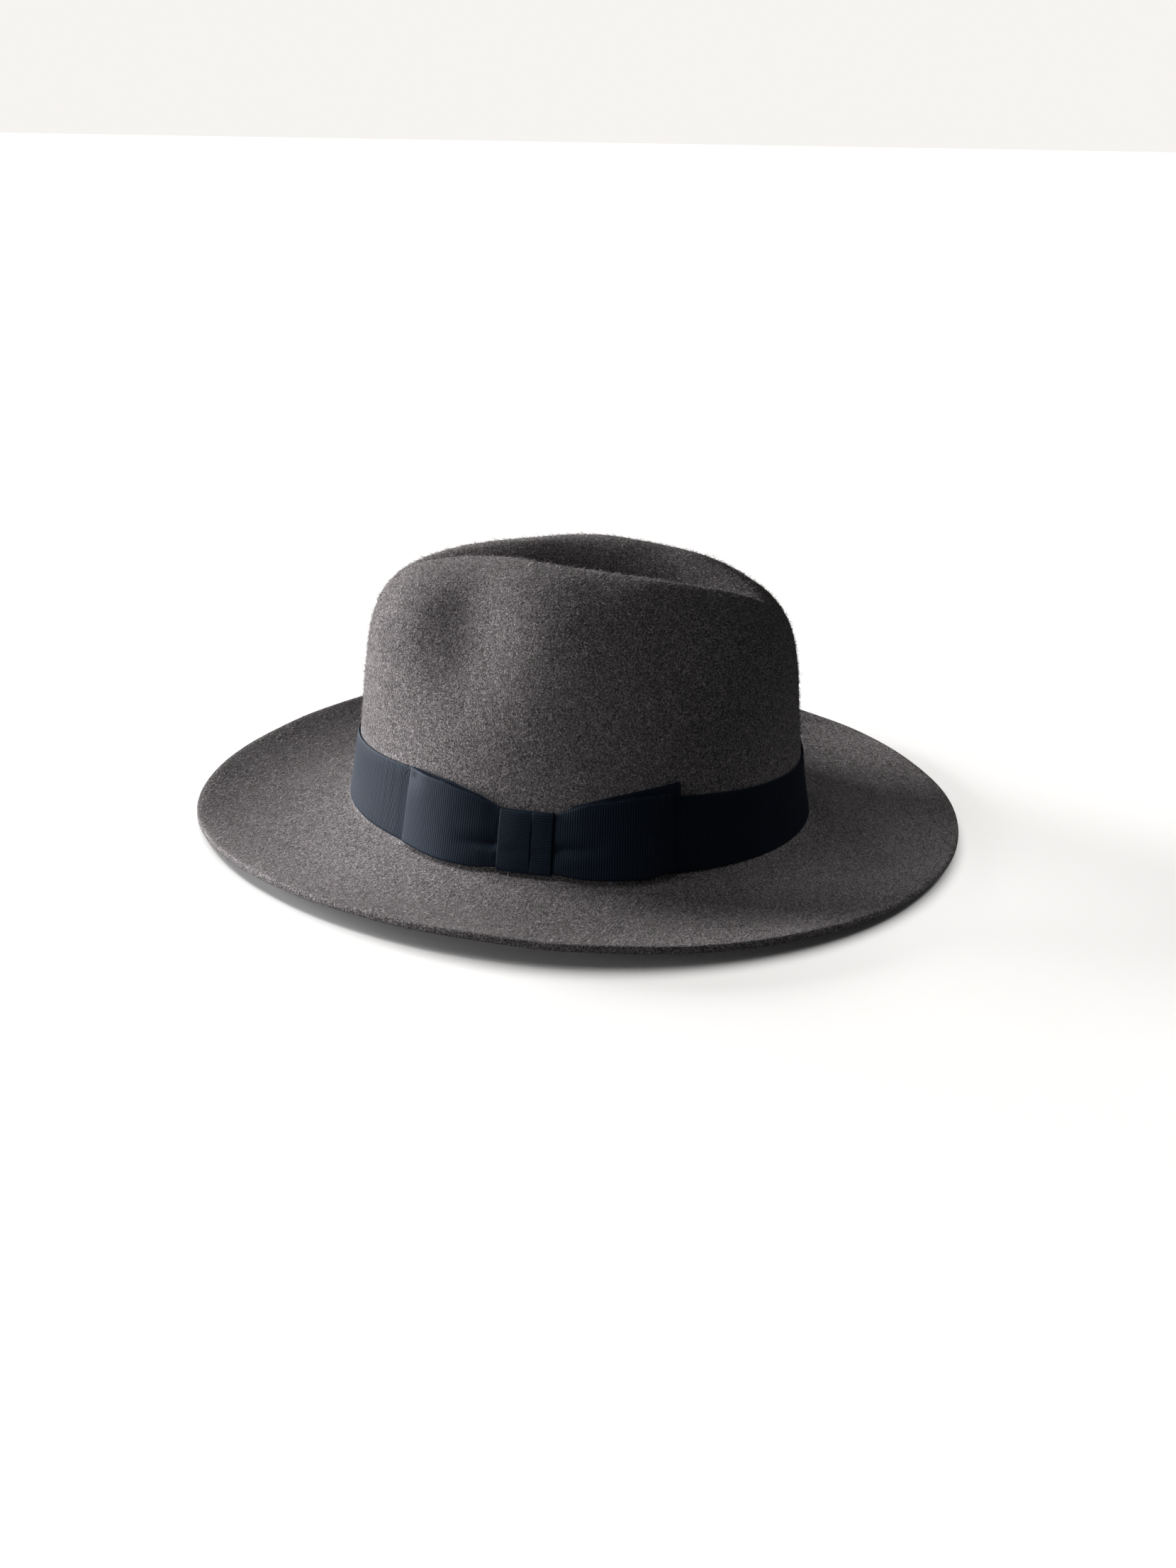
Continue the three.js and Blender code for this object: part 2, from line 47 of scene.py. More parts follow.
# ---- the felt's shape
HALF_WIDTH, HALF_LENGTH, CROWN_HEIGHT = 86.0, 105.0, 114.0
END_DROP = 0.14
SIDE_LEAN, END_LEAN, END_LEAN_FADE = 0.233, 0.188, 63.0
SIDE_CORNER, FRONT_CORNER, BACK_CORNER = 5.0, 8.0, 8.0
DENT_DEPTH, DENT_HALF_WIDTH, DENT_ROUNDING = 26.0, 10.5, 4.5
DENT_WIDEST, DENT_TO_FRONT, DENT_TO_BACK = 26.0, 103.0, 63.0
DENT_TAPER, DENT_WALL, DENT_BACK_FADE = 1.5, 2.3, 0.0035
PINCH_DEPTH, PINCH_Y, PINCH_HEIGHT = 11.0, -36.0, 90.0
PINCH_LENGTH, PINCH_TALL, PINCH_BLEND = 22.0, 26.0, 18.0
CROWN_FELT, BRIM_FELT, BREAK_ROUND = 2.4, 3.0, 1.6
POLE_CLIMB = 0.996  # the last ring before the middle of the crown's top
BRIM_SIDE, BRIM_FRONT, BRIM_BACK = 66.0, 68.5, 65.0
BRIM_DIP, BRIM_DIP_TURN = 0.184, 0.029
BRIM_EDGE, BRIM_EDGE_RISE, BRIM_EDGE_ROLL, BRIM_EDGE_WAVE = 3.4, 0.5, 3.5, -1.3

RIBBON = 0.7  # thickness
GAP = 0.3  # between pieces that are sewn together
BAND_FOOT, BAND_TOP = 1.0, 34.0
BAND_UNDER_KNOT, BAND_RISE = 21.0, 0.225
ARC_RADIUS = 104.0  # turns an angle on the hat's left side into a distance along the band
REAR = math.pi / 2


def wobble(points, size, seed):
    """Smooth noise from -1 to 1 at points: a few plane waves of about one length, the same each run."""
    rng = np.random.default_rng(seed)
    total = np.zeros(points.shape[:-1])
    for _ in range(9):
        wave = rng.normal(size=3)
        wave *= TAU / (size * rng.uniform(0.7, 1.6)) / np.linalg.norm(wave)
        total += np.sin(points @ wave + rng.uniform(0, TAU))
    return total / 4.0


def corner_power(side):
    """How square the crown's upper corner is: side is -1 in front, 0 at the sides and 1 behind."""
    end_corner = np.where(side < 0, FRONT_CORNER, BACK_CORNER)
    return SIDE_CORNER + (end_corner - SIDE_CORNER) * side**4


def crown_point(theta, climb):
    """Outer face of the crown: climb is 0 at the brim break and 1 in the middle of the top."""
    theta, climb = np.broadcast_arrays(theta, climb)
    side = np.sin(theta)
    power = corner_power(side)
    turn = climb * math.pi / 2
    across, upward = np.abs(np.cos(turn)), np.abs(np.sin(turn))
    size = (across**power + upward**power) ** (-1 / power)
    reach, level = across * size, upward * size
    height = CROWN_HEIGHT * level
    upright = END_LEAN * END_LEAN_FADE * (1 - np.exp(-height / END_LEAN_FADE))
    x = (HALF_WIDTH - SIDE_LEAN * height) * reach * np.cos(theta)
    y = (HALF_LENGTH - upright) * reach * side
    height = height * (1 - END_DROP * (y / 100) ** 2)
    height = height - dent_depth(x, y) * level**6
    pinch = np.exp(-(((y - PINCH_Y) / PINCH_LENGTH) ** 2) - ((height - PINCH_HEIGHT) / PINCH_TALL) ** 2)
    x = x - PINCH_DEPTH * pinch * np.tanh(x / PINCH_BLEND)
    return np.stack([x, y + SIDE_Y, height + BREAK_HEIGHT], -1)


def dent_depth(x, y):
    """Depth of the teardrop dent: a point in front, wider and shallower behind."""
    length = np.where(y < DENT_WIDEST, DENT_TO_FRONT, DENT_TO_BACK)
    opening = np.maximum(1 - ((y - DENT_WIDEST) / length) ** 2, 0) ** DENT_TAPER
    half_width = DENT_HALF_WIDTH * opening + DENT_ROUNDING
    depth = DENT_DEPTH * opening * (1 - DENT_BACK_FADE * np.maximum(y, 0))
    return depth * np.exp(-(np.abs(x / half_width) ** DENT_WALL))


def hump(value, middle, width):
    """1 at the middle, falling smoothly to 0 on both sides."""
    return np.exp(-(((value - middle) / width) ** 2))


def unit(vectors):
    return vectors / np.maximum(np.linalg.norm(vectors, axis=-1, keepdims=True), 1e-12)


def crown_normal(theta, climb):
    small = 1e-4
    climb = np.clip(climb, small, 1 - 20 * small)
    sideways = crown_point(theta + small, climb) - crown_point(theta - small, climb)
    up = crown_point(theta, climb + small) - crown_point(theta, climb - small)
    return unit(np.cross(sideways, up))


def crown_layer(theta, climb, offset):
    """The crown's face moved out by offset, or into the hat when it is negative."""
    theta, climb, offset = np.broadcast_arrays(theta, climb, offset)
    return crown_point(theta, climb) + crown_normal(theta, climb) * offset[..., None]


def pole(layer, offset):
    """The middle of a layer's top."""
    return layer(np.zeros(1), np.ones(1), offset)[0]


def climb_at(theta, height):
    """The climb at which the wall reaches a height over the break."""
    theta, height = np.broadcast_arrays(theta, height)
    power = corner_power(np.sin(theta))
    level = height / CROWN_HEIGHT
    reach = (1 - np.maximum(level, 0) ** power) ** (1 / power)
    return np.arctan2(level, reach) * 2 / math.pi


def wall_layer(theta, height, offset):
    """A place on the crown's wall by its height over the break and its offset from the felt."""
    return crown_layer(theta, climb_at(theta, height), offset)


def brim_point(theta, reach):
    """Upper face of the brim: reach is 0 at the break and 1 at the edge."""
    theta, reach = np.broadcast_arrays(theta, reach)
    side = np.sin(theta)
    width = BRIM_SIDE + (np.where(side < 0, BRIM_FRONT, BRIM_BACK) - BRIM_SIDE) * side**2
    edge = BRIM_EDGE + BRIM_EDGE_RISE * side + BRIM_EDGE_ROLL * np.cos(2 * theta)
    edge = edge + BRIM_EDGE_WAVE * np.sin(3 * theta)
    dip = BRIM_DIP + BRIM_DIP_TURN * side
    height = width * dip * (reach**2 - reach) + edge * reach**2
    x = (HALF_WIDTH + width * reach) * np.cos(theta)
    y = (HALF_LENGTH + width * reach) * side
    return np.stack([x, y + SIDE_Y, height + BREAK_HEIGHT], -1)


# ---- meshes from grids of points
def linked(name, data):
    """A new object in the scene."""
    thing = bpy.data.objects.new(name, data)
    bpy.context.scene.collection.objects.link(thing)
    return thing


def mesh_object(name, points, faces, uv=None):
    """A new smooth-shaded object. uv is one pair of millimetres for each corner of each face."""
    mesh = bpy.data.meshes.new(name)
    mesh.from_pydata((points * MM).tolist(), [], faces.tolist() if hasattr(faces, "tolist") else faces)
    if uv is not None:
        layer = mesh.uv_layers.new(name="surface")
        layer.data.foreach_set("uv", (uv * MM).astype(np.float32).ravel())
    mesh.polygons.foreach_set("use_smooth", np.ones(len(mesh.polygons), bool))
    piece = linked(name, mesh)
    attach(piece, "root")
    return piece


def quads(*corners):
    """Faces from four grids of point numbers."""
    return np.stack([corner.ravel() for corner in corners], -1)


def thick_sheet(name, front, back, length, width, ring=False):
    """A closed sheet between two grids of points. length and width give each grid place in millimetres."""
    columns, rows = front.shape[:2]
    points = np.concatenate([front.reshape(-1, 3), back.reshape(-1, 3)])
    place = np.tile(np.stack([length, width], -1).reshape(-1, 2), (2, 1))
    index = np.arange(columns * rows).reshape(columns, rows)
    if ring:
        index = np.concatenate([index, index[:1]])
    back_index = index + columns * rows
    faces = [
        quads(index[:-1, :-1], index[1:, :-1], index[1:, 1:], index[:-1, 1:]),
        quads(back_index[:-1, 1:], back_index[1:, 1:], back_index[1:, :-1], back_index[:-1, :-1]),
        quads(index[1:, 0], index[:-1, 0], back_index[:-1, 0], back_index[1:, 0]),
        quads(index[:-1, -1], index[1:, -1], back_index[1:, -1], back_index[:-1, -1]),
    ]
    if not ring:
        faces.append(quads(index[0, :-1], index[0, 1:], back_index[0, 1:], back_index[0, :-1]))
        faces.append(quads(index[-1, 1:], index[-1, :-1], back_index[-1, :-1], back_index[-1, 1:]))
    faces = np.concatenate(faces)
    return mesh_object(name, points, outward(points, faces), place[faces].reshape(-1, 2))


def outward(points, faces):
    """The faces turned so that they point out of their solid."""
    a, b, c, d = (points[faces[:, i]] for i in range(4))
    volume = np.einsum("ij,ij->", a, np.cross(b, c)) + np.einsum("ij,ij->", a, np.cross(c, d))
    return faces[:, ::-1] if volume < 0 else faces


def pole_to_pole(name, start, rings, end):
    """A closed solid from rings of points, shape (rings, around, 3), with a pole at each end."""
    count, around = rings.shape[:2]
    points = np.concatenate([[start], rings.reshape(-1, 3), [end]])
    index = 1 + np.arange(count * around).reshape(count, around)
    index = np.concatenate([index, index[:, :1]], 1)
    faces = quads(index[:-1, :-1], index[:-1, 1:], index[1:, 1:], index[1:, :-1])
    turned = outward(points, faces)
    flipped = not np.array_equal(turned, faces)
    last = len(points) - 1
    caps = [(0, index[0, i + 1], index[0, i]) for i in range(around)]
    caps += [(last, index[-1, i], index[-1, i + 1]) for i in range(around)]
    if flipped:
        caps = [cap[::-1] for cap in caps]
    return mesh_object(name, points, turned.tolist() + [tuple(map(int, cap)) for cap in caps])


def round_cord(name, line, radius, sides=8, closed=False):
    """A round cord along a line of points, with a flat cap at each end where it is open."""
    line = np.asarray(line, float)
    if closed:
        tangent = np.roll(line, -1, 0) - np.roll(line, 1, 0)
    else:
        tangent = np.gradient(line, axis=0)
    tangent = unit(tangent)
    centre = line.mean(0)
    out = unit(line - centre)
    first = unit(np.cross(tangent, out))
    second = np.cross(tangent, first)
    angle = np.arange(sides) * TAU / sides
    radius = np.broadcast_to(radius, len(line))[:, None, None]
    ring = first[:, None] * np.cos(angle)[None, :, None] + second[:, None] * np.sin(angle)[None, :, None]
    points = (line[:, None] + ring * radius).reshape(-1, 3)
    index = np.arange(len(line) * sides).reshape(len(line), sides)
    index = np.concatenate([index, index[:, :1]], 1)
    if closed:
        index = np.concatenate([index, index[:1]])
    faces = quads(index[:-1, :-1], index[1:, :-1], index[1:, 1:], index[:-1, 1:])
    turned = outward(points, faces)
    ends = [] if closed else [index[0, :-1].tolist(), index[-1, :-1][::-1].tolist()]
    if not np.array_equal(turned, faces):
        ends = [end[::-1] for end in ends]
    return mesh_object(name, points, turned.tolist() + ends)


# ---- materials
class Nodes:
    """Short ways to build a node tree around one Principled shader."""

    def __init__(self, name):
        self.material = bpy.data.materials.new(name)
        self.material.use_nodes = True
        self.tree = self.material.node_tree
        self.shader = next(n for n in self.tree.nodes if n.type == "BSDF_PRINCIPLED")

    def add(self, kind, **sockets):
        node = self.tree.nodes.new(kind)
        for name, value in sockets.items():
            self.put(node.inputs[name.replace("_", " ")], value)
        return node

    def put(self, socket, value):
        if isinstance(value, bpy.types.NodeSocket):
            self.tree.links.new(value, socket)
        else:
            socket.default_value = value

    def set(self, name, value):
        self.put(self.shader.inputs[name], value)

    def gloss(self, specular, sheen, sheen_rough, sheen_tint):
        """The constant parts of a cloth's gloss."""
        self.set("Specular IOR Level", specular)
        self.set("Sheen Weight", sheen)
        self.set("Sheen Roughness", sheen_rough)
        self.set("Sheen Tint", (*sheen_tint, 1))

    def coordinates(self, scale=(1, 1, 1), turn=(0, 0, 0), source="Object"):
        if source == "Object":
            start = self.add("ShaderNodeTexCoord").outputs["Object"]
        else:
            uv = self.add("ShaderNodeUVMap")
            uv.uv_map = source
            start = uv.outputs["UV"]
        mapping = self.add("ShaderNodeMapping", Vector=start, Scale=scale, Rotation=turn)
        return mapping.outputs["Vector"]

    def noise(self, vector, scale, detail=2.0, roughness=0.5, distortion=0.0):
        node = self.add("ShaderNodeTexNoise", Vector=vector, Scale=scale, Detail=detail,
                        Roughness=roughness, Distortion=distortion)
        return node.outputs["Fac"]

    def ramp(self, value, stops):
        node = self.add("ShaderNodeValToRGB", Fac=value)
        elements = node.color_ramp.elements
        while len(elements) < len(stops):
            elements.new(0.5)
        for element, (place, colour) in zip(elements, stops):
            element.position = place
            element.color = (*colour, 1) if len(colour) == 3 else colour
        return node.outputs["Color"]

    def mix(self, factor, first, second, blend="MIX"):
        node = self.tree.nodes.new("ShaderNodeMix")
        node.data_type = "RGBA"
        node.blend_type = blend
        for socket, value in zip((0, 6, 7), (factor, first, second)):
            value = (*value, 1) if isinstance(value, tuple) and len(value) == 3 else value
            self.put(node.inputs[socket], value)
        return node.outputs[2]

    def math(self, operation, first, second=0.0):
        node = self.tree.nodes.new("ShaderNodeMath")
        node.operation = operation
        self.put(node.inputs[0], first)
        self.put(node.inputs[1], second)
        return node.outputs[0]

    def weighted(self, *terms):
        """The sum of values, each multiplied by its weight."""
        parts = [self.math("MULTIPLY", value, weight) for value, weight in terms]
        total = parts[0]
        for part in parts[1:]:
            total = self.math("ADD", total, part)
        return total

    def grey_ramp(self, value, low, low_grey, high, high_grey):
        return self.ramp(value, [(low, grey(low_grey)), (high, grey(high_grey))])

    def rough(self, value, low, high):
        self.set("Roughness", self.grey_ramp(value, 0.3, low, 0.7, high))

    def bump(self, height, strength, distance, normal=None):
        node = self.add("ShaderNodeBump", Height=height, Strength=strength, Distance=distance)
        if normal is not None:
            self.put(node.inputs["Normal"], normal)
        return node.outputs["Normal"]


RIB_PITCH = 1.0
WARP_PITCH = 0.32

FELT_DARK = (0.052, 0.048, 0.049)
FELT_MIDDLE = (0.150, 0.139, 0.141)
FELT_PALE = (0.780, 0.720, 0.732)


def grey(value):
    return (value, value, value)


def strands(n, scale, width, place, turn, warp):
    """Thin curly lines, as of fibres that lie on the felt: 1 on a line and 0 beside it."""
    mapping = n.add("ShaderNodeMapping", Vector=n.coordinates(), Location=place, Rotation=turn)
    field = n.noise(mapping.outputs["Vector"], scale, 1.5, 0.5, warp)
    beside = n.math("ABSOLUTE", n.math("SUBTRACT", field, 0.5))
    return n.grey_ramp(beside, 0.0, 1.0, width, 0.0)


def felt_material():
    """Heathered velour felt: pale curly fibres over a dark ground, brushed patches and a soft sheen."""
    n = Nodes("felt")
    place = n.coordinates()
    broad = n.noise(place, 28, 3, 0.6)
    patches = n.noise(place, 260, 3, 0.6, 0.4)
    specks = n.noise(place, 1500, 2, 0.6)
    first = strands(n, 700, 0.036, (0.1, 0.3, 0.2), (0.3, 0.5, 0.1), 1.2)
    second = strands(n, 1000, 0.038, (0.7, 0.2, 0.5), (1.1, 0.2, 0.8), 1.0)
    third = strands(n, 1500, 0.045, (0.4, 0.9, 0.1), (0.2, 1.4, 0.5), 0.8)
    pale = n.math("MAXIMUM", first, n.math("MULTIPLY", second, 0.85))
    pale = n.math("MAXIMUM", pale, n.math("MULTIPLY", third, 0.7))
    broken = n.grey_ramp(specks, 0.40, 0.3, 0.52, 1.0)
    pale = n.mix(1.0, pale, broken, "MULTIPLY")
    mottle = n.weighted((patches, 0.45), (specks, 0.55))
    ground = n.ramp(mottle, [(0.36, FELT_DARK), (0.64, FELT_MIDDLE)])
    fibre = n.ramp(specks, [(0.36, FELT_MIDDLE), (0.58, FELT_PALE)])
    colour = n.mix(pale, ground, fibre)
    worn = n.grey_ramp(broad, 0.35, 0.86, 0.65, 1.0)
    n.set("Base Color", n.mix(1.0, colour, worn, "MULTIPLY"))
    n.rough(patches, 0.86, 0.98)
    n.gloss(0.15, 0.1, 0.5, (0.9, 0.87, 0.85))
    deep = n.bump(n.math("ADD", n.math("MULTIPLY", patches, 0.8), specks), 0.4, 0.0004)
    n.set("Normal", n.bump(pale, 0.5, 0.00015, deep))
    return n.material


def fur_material():
    """The fibres of the nap: most pale grey-beige, some dark."""
    n = Nodes("fur")
    tone = n.noise(n.coordinates(), 700, 2, 0.6)
    n.set("Base Color", n.ramp(tone, [
        (0.34, (0.050, 0.046, 0.047)),
        (0.42, (0.200, 0.186, 0.189)),
        (0.52, (0.430, 0.400, 0.406)),
        (0.66, (0.720, 0.670, 0.681)),
    ]))
    n.rough(tone, 0.55, 0.7)
    n.set("Specular IOR Level", 0.3)
    return n.material


def grosgrain_material():
    """Navy grosgrain: the ribs are in the mesh, and the shader adds their warp threads and wear, and paints a
    highlight on each rib's crest and shade in the grooves between.
    """
    n = Nodes("grosgrain")
    weave = n.coordinates((1, 1, 1), source="surface")
    across = n.add("ShaderNodeSeparateXYZ", Vector=weave)
    warp = n.math("SINE", n.math("MULTIPLY", across.outputs["Y"], TAU / (WARP_PITCH * MM)))
    rib_turn = n.math("MULTIPLY", across.outputs["X"], math.pi / (RIB_PITCH * MM))
    painted_rib_light = n.math("ABSOLUTE", n.math("SINE", rib_turn))
    thread = n.noise(n.coordinates((900, 3600, 1), source="surface"), 1, 3, 0.6)
    shade = n.noise(n.coordinates(), 60, 3, 0.6)
    # painted light: each rib's crest is painted lighter and each groove darker, as a painted highlight and
    # painted shade on the ribs
    value = n.weighted((thread, 0.55), (n.math("SUBTRACT", painted_rib_light, 0.6), 0.5), (shade, 0.3))
    n.set("Base Color", n.ramp(value, [
        (0.25, (0.0006, 0.0020, 0.0052)),
        (0.45, (0.0034, 0.0070, 0.0150)),
        (0.70, (0.0120, 0.0190, 0.0340)),
    ]))
    n.rough(thread, 0.55, 0.7)
    n.gloss(0.3, 0.11, 0.3, (0.5, 0.68, 1.0))
    n.set("Specular Tint", (0.6, 0.78, 1.0, 1))
    n.set("Normal", n.bump(n.math("ADD", n.math("MULTIPLY", warp, 0.1), thread), 0.3, 0.0001))
    return n.material


def leather_material():
    """Smooth brown sweatband leather with a fine pebble and slightly darker creases."""
    n = Nodes("leather")
    place = n.coordinates()
    cells = n.add("ShaderNodeTexVoronoi", Vector=place, Scale=900.0)
    cells.feature = "DISTANCE_TO_EDGE"
    pebble = n.grey_ramp(cells.outputs["Distance"], 0.0, 0.0, 0.18, 1.0)
    tone = n.noise(place, 40, 4, 0.6)
    colour = n.ramp(tone, [(0.3, (0.050, 0.024, 0.013)), (0.7, (0.105, 0.054, 0.030))])
    n.set("Base Color", n.mix(n.math("SUBTRACT", 1.0, pebble), colour, (0.028, 0.014, 0.009)))
    n.rough(tone, 0.42, 0.58)
    n.set("Normal", n.bump(n.math("ADD", pebble, n.noise(place, 260, 3)), 0.3, 0.00025))
    return n.material


def satin_material():
    """Grey satin lining with fine threads that run up the hat and a broad gloss."""
    n = Nodes("satin")
    place = n.coordinates()
    threads = n.noise(n.coordinates((2600, 2600, 160)), 1, 3, 0.6)
    tone = n.noise(place, 30, 3)
    value = n.weighted((threads, 0.6), (tone, 0.4))
    n.set("Base Color", n.ramp(value, [(0.3, (0.050, 0.050, 0.056)), (0.7, (0.115, 0.115, 0.125))]))
    n.rough(threads, 0.26, 0.4)
    n.set("Anisotropic", 0.5)
    n.set("Sheen Weight", 0.15)
    n.set("Normal", n.bump(threads, 0.12, 0.0001))
    return n.material


def woven_material(name, dark, light, pitch):
    """A plain woven tape or twisted thread in two close tones."""
    n = Nodes(name)
    place = n.coordinates()
    weave = n.add("ShaderNodeTexVoronoi", Vector=place, Scale=1 / pitch).outputs["Distance"]
    tone = n.noise(place, 300, 3)
    value = n.weighted((weave, 0.5), (tone, 0.5))
    n.set("Base Color", n.ramp(value, [(0.3, dark), (0.7, light)]))
    n.rough(tone, 0.7, 0.85)
    n.set("Sheen Weight", 0.2)
    n.set("Normal", n.bump(weave, 0.4, 0.0001))
    return n.material


def reed_material():
    """Off-white plastic with a faint drift of tone."""
    n = Nodes("reed_plastic")
    tone = n.noise(n.coordinates(), 200, 3)
    n.set("Base Color", n.ramp(tone, [(0.3, (0.58, 0.55, 0.48)), (0.7, (0.70, 0.67, 0.60))]))
    n.rough(tone, 0.32, 0.45)
    return n.material


def dress(piece, material, slot, *nodes):
    """Gives a piece its material and hides the CAD nodes that it stands for; slot is not used."""
    piece.data.materials.clear()
    piece.data.materials.append(material)
    if nodes:
        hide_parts(*nodes)


# ---- felt body
AROUND = 360  # steps round the felt body
BAND_MARGIN, BLEND_TALL = 2.0, 18.0
UNEVEN_BROAD, UNEVEN_FINE, BRIM_UNEVEN = 0.45, 0.14, 0.25


def blend_height(height):
    """0 beside the hatband, 1 well above it."""
    return np.clip((height - BREAK_HEIGHT - BAND_TOP - BAND_MARGIN) / BLEND_TALL, 0, 1) ** 2


def living_crown(theta, climb, offset):
    """The crown with the small unevenness of hand-shaped felt above the band."""
    points = crown_layer(theta, climb, offset)
    normal = crown_normal(theta, climb)
    amount = UNEVEN_BROAD * wobble(points, 62, 3) + UNEVEN_FINE * wobble(points, 21, 4)
    amount = amount * blend_height(points[..., 2])
    return points + normal * amount[..., None]


def felt_body():
    """Crown and brim in one closed solid: rings from the top, round the brim's edge and up inside."""
    theta = np.arange(AROUND) * TAU / AROUND
    foot = climb_at(theta, BREAK_ROUND)
    rise = np.linspace(0, 1, 130, endpoint=False)[:, None]
    outer = living_crown(theta, 1 - (1 - foot) * (1 - POLE_CLIMB + POLE_CLIMB * rise), 0.0)
    wall_foot = crown_layer(theta, foot, 0.0)[None]
    reach = np.linspace(0.025, 1, 36)[:, None]
    upper = brim_point(theta, reach)
    lower = upper[::-2].copy()
    upper[..., 2] += BRIM_UNEVEN * wobble(upper, 45, 5) * reach
    lower[..., 2] = upper[::-2][..., 2] - BRIM_FELT
    lower[..., 2] = np.maximum(lower[..., 2], 0)
    corner = crown_point(theta, 0.0)
    bend = bezier(wall_foot[0], corner, upper[0], 5)
    inner_climb = foot + (1 - foot) * np.linspace(0, POLE_CLIMB, 44)[:, None]
    inner = living_crown(theta, inner_climb, -CROWN_FELT)
    inner_corner = wall_layer(theta, 0.0, -CROWN_FELT)
    inner_corner[..., 2] -= BRIM_FELT
    inner_bend = bezier(lower[-1], inner_corner, inner[0], 5)
    edge = brim_edge(upper[-1], lower[0], theta)
    rings = np.concatenate([outer, wall_foot, bend, upper, edge, lower, inner_bend, inner])
    return pole_to_pole("felt", pole(living_crown, 0.0), rings, pole(living_crown, -CROWN_FELT))


def bezier(start, corner, end, steps):
    """Rings round a bend, without its start and end."""
    t = (np.arange(1, steps) / steps)[:, None, None]
    return (1 - t) ** 2 * start + 2 * t * (1 - t) * corner + t**2 * end


def brim_edge(top, bottom, theta):
    """The raw edge of the brim: nearly square, with its corners worn round."""
    out = np.stack([np.cos(theta) / HALF_WIDTH, np.sin(theta) / HALF_LENGTH, np.zeros_like(theta)], -1)
    out = unit(out)
    rings = []
    for angle in np.linspace(math.pi / 2, -math.pi / 2, 9)[1:-1]:
        bulge = abs(math.cos(angle)) ** 0.5 * 0.9
        lift = (math.copysign(abs(math.sin(angle)) ** 0.8, math.sin(angle)) + 1) / 2
        rings.append(bottom + (top - bottom) * lift + out * bulge)
    return np.stack(rings)


# ---- ribbon
RIB_RELIEF = 0.19
SELVAGE = 0.05  # how far the ribs show in the ribbon's edges
FIRM_EDGE = 0.6  # how much flatter the ribs are on those edges
INNER_RIBS = 0.4  # their relief on the ribbon's back, as a share of that on its front
FACE_HALF = 0.36  # half of a ribbon, as a share of its thickness, before the ribs are added


def rib(distance):
    """Relief of the ribs at a distance along the ribbon: round ribs with narrow grooves."""
    return RIB_RELIEF * np.abs(np.sin(math.pi * distance / RIB_PITCH)) ** 0.7


def run_of(points):
    """Distance along a line of points, for each of them."""
    return np.concatenate([[0], np.cumsum(np.linalg.norm(np.diff(points, axis=0), axis=-1))])


def ribbon_rows(count):
    """Places across a ribbon from 0 to 1, with one more close to each edge for the selvage."""
    inner = np.linspace(0.03, 0.97, count - 2)
    return np.concatenate([[0], inner, [1]])[None]


def edge_of(across):
    """1 on the ribbon's two edges and 0 elsewhere."""
    return ((across < 0.001) | (across > 0.999)).astype(float)


def firm_ribs(distance, across):
    """Relief of the ribs, flatter on the ribbon's two edges."""
    return rib(distance) * (1 - FIRM_EDGE * edge_of(across))


def scalloped(distance, across):
    """How far the grooves between the ribs draw the ribbon's two edges in."""
    return SELVAGE * (1 - rib(distance) / RIB_RELIEF) * edge_of(across) * np.sign(across - 0.5)


def hatband():
    """The ribbon round the crown, with its ribs, its firm edges and a little looseness."""
    theta = np.linspace(0.012, TAU - 0.012, 3060)[:, None]
    middle = wall_layer(theta, np.array([[18.0]]), 0.0)[:, 0]
    length = run_of(middle)[:, None]
    from_knot = ARC_RADIUS * np.minimum(theta, TAU - theta)
    top = np.minimum(BAND_TOP, BAND_UNDER_KNOT + BAND_RISE * from_knot)
    across = ribbon_rows(10)
    side_wave = 0.25 * wobble(middle, 70, 9)[:, None] * (from_knot > 64)
    height = BAND_FOOT + (top - BAND_FOOT) * across + side_wave * across - scalloped(length, across)
    away = np.clip((from_knot - 70) / 30, 0, 1)
    loose = 0.45 * np.maximum(wobble(wall_layer(theta, height, 0.0), 46, 8), 0) * across * away
    out = GAP + 2 * FACE_HALF * RIBBON + loose + firm_ribs(length, across)
    front = wall_layer(theta, height, out)
    back = wall_layer(theta, height, GAP + loose * 0.95)
    return thick_sheet("ribbon_band", front, back, np.broadcast_to(length, height.shape), height)


def spline(points, count):
    """A smooth curve through points, as places, unit tangents and distances along it."""
    points = np.asarray(points, float)
    padded = np.concatenate([[2 * points[0] - points[1]], points, [2 * points[-1] - points[-2]]])
    t = np.linspace(0, len(points) - 1 - 1e-9, 4000)
    i = t.astype(int)
    u = (t - i)[:, None]
    p0, p1, p2, p3 = (padded[i + k] for k in range(4))
    curve = 0.5 * (2 * p1 + (p2 - p0) * u + (2 * p0 - 5 * p1 + 4 * p2 - p3) * u**2
                   + (3 * p1 - p0 - 3 * p2 + p3) * u**3)
    run = run_of(curve)
    distance = np.linspace(0, run[-1], count)
    place = np.stack([np.interp(distance, run, curve[:, k]) for k in range(2)], -1)
    return place, unit(np.gradient(place, axis=0)), distance


def on_side(along, height, offset):
    """A place on the hat's left wall by the distance along the band, height and offset."""
    return wall_layer(along / ARC_RADIUS, height, offset)


def edges_through(stations):
    """Lower and upper edge of a strip from stations of distance, lower edge and upper edge."""
    reach, low, high = np.asarray(stations, float).T
    fine = np.linspace(reach[0], reach[-1], 400)

    def smooth(values):
        drawn = np.interp(fine, reach, values)
        window = np.hanning(41)
        padded = np.pad(drawn, 20, "edge")
        return np.convolve(padded, window / window.sum(), "valid")

    low, high = smooth(low), smooth(high)
    return lambda along: (np.interp(np.abs(along), fine, low), np.interp(np.abs(along), fine, high))


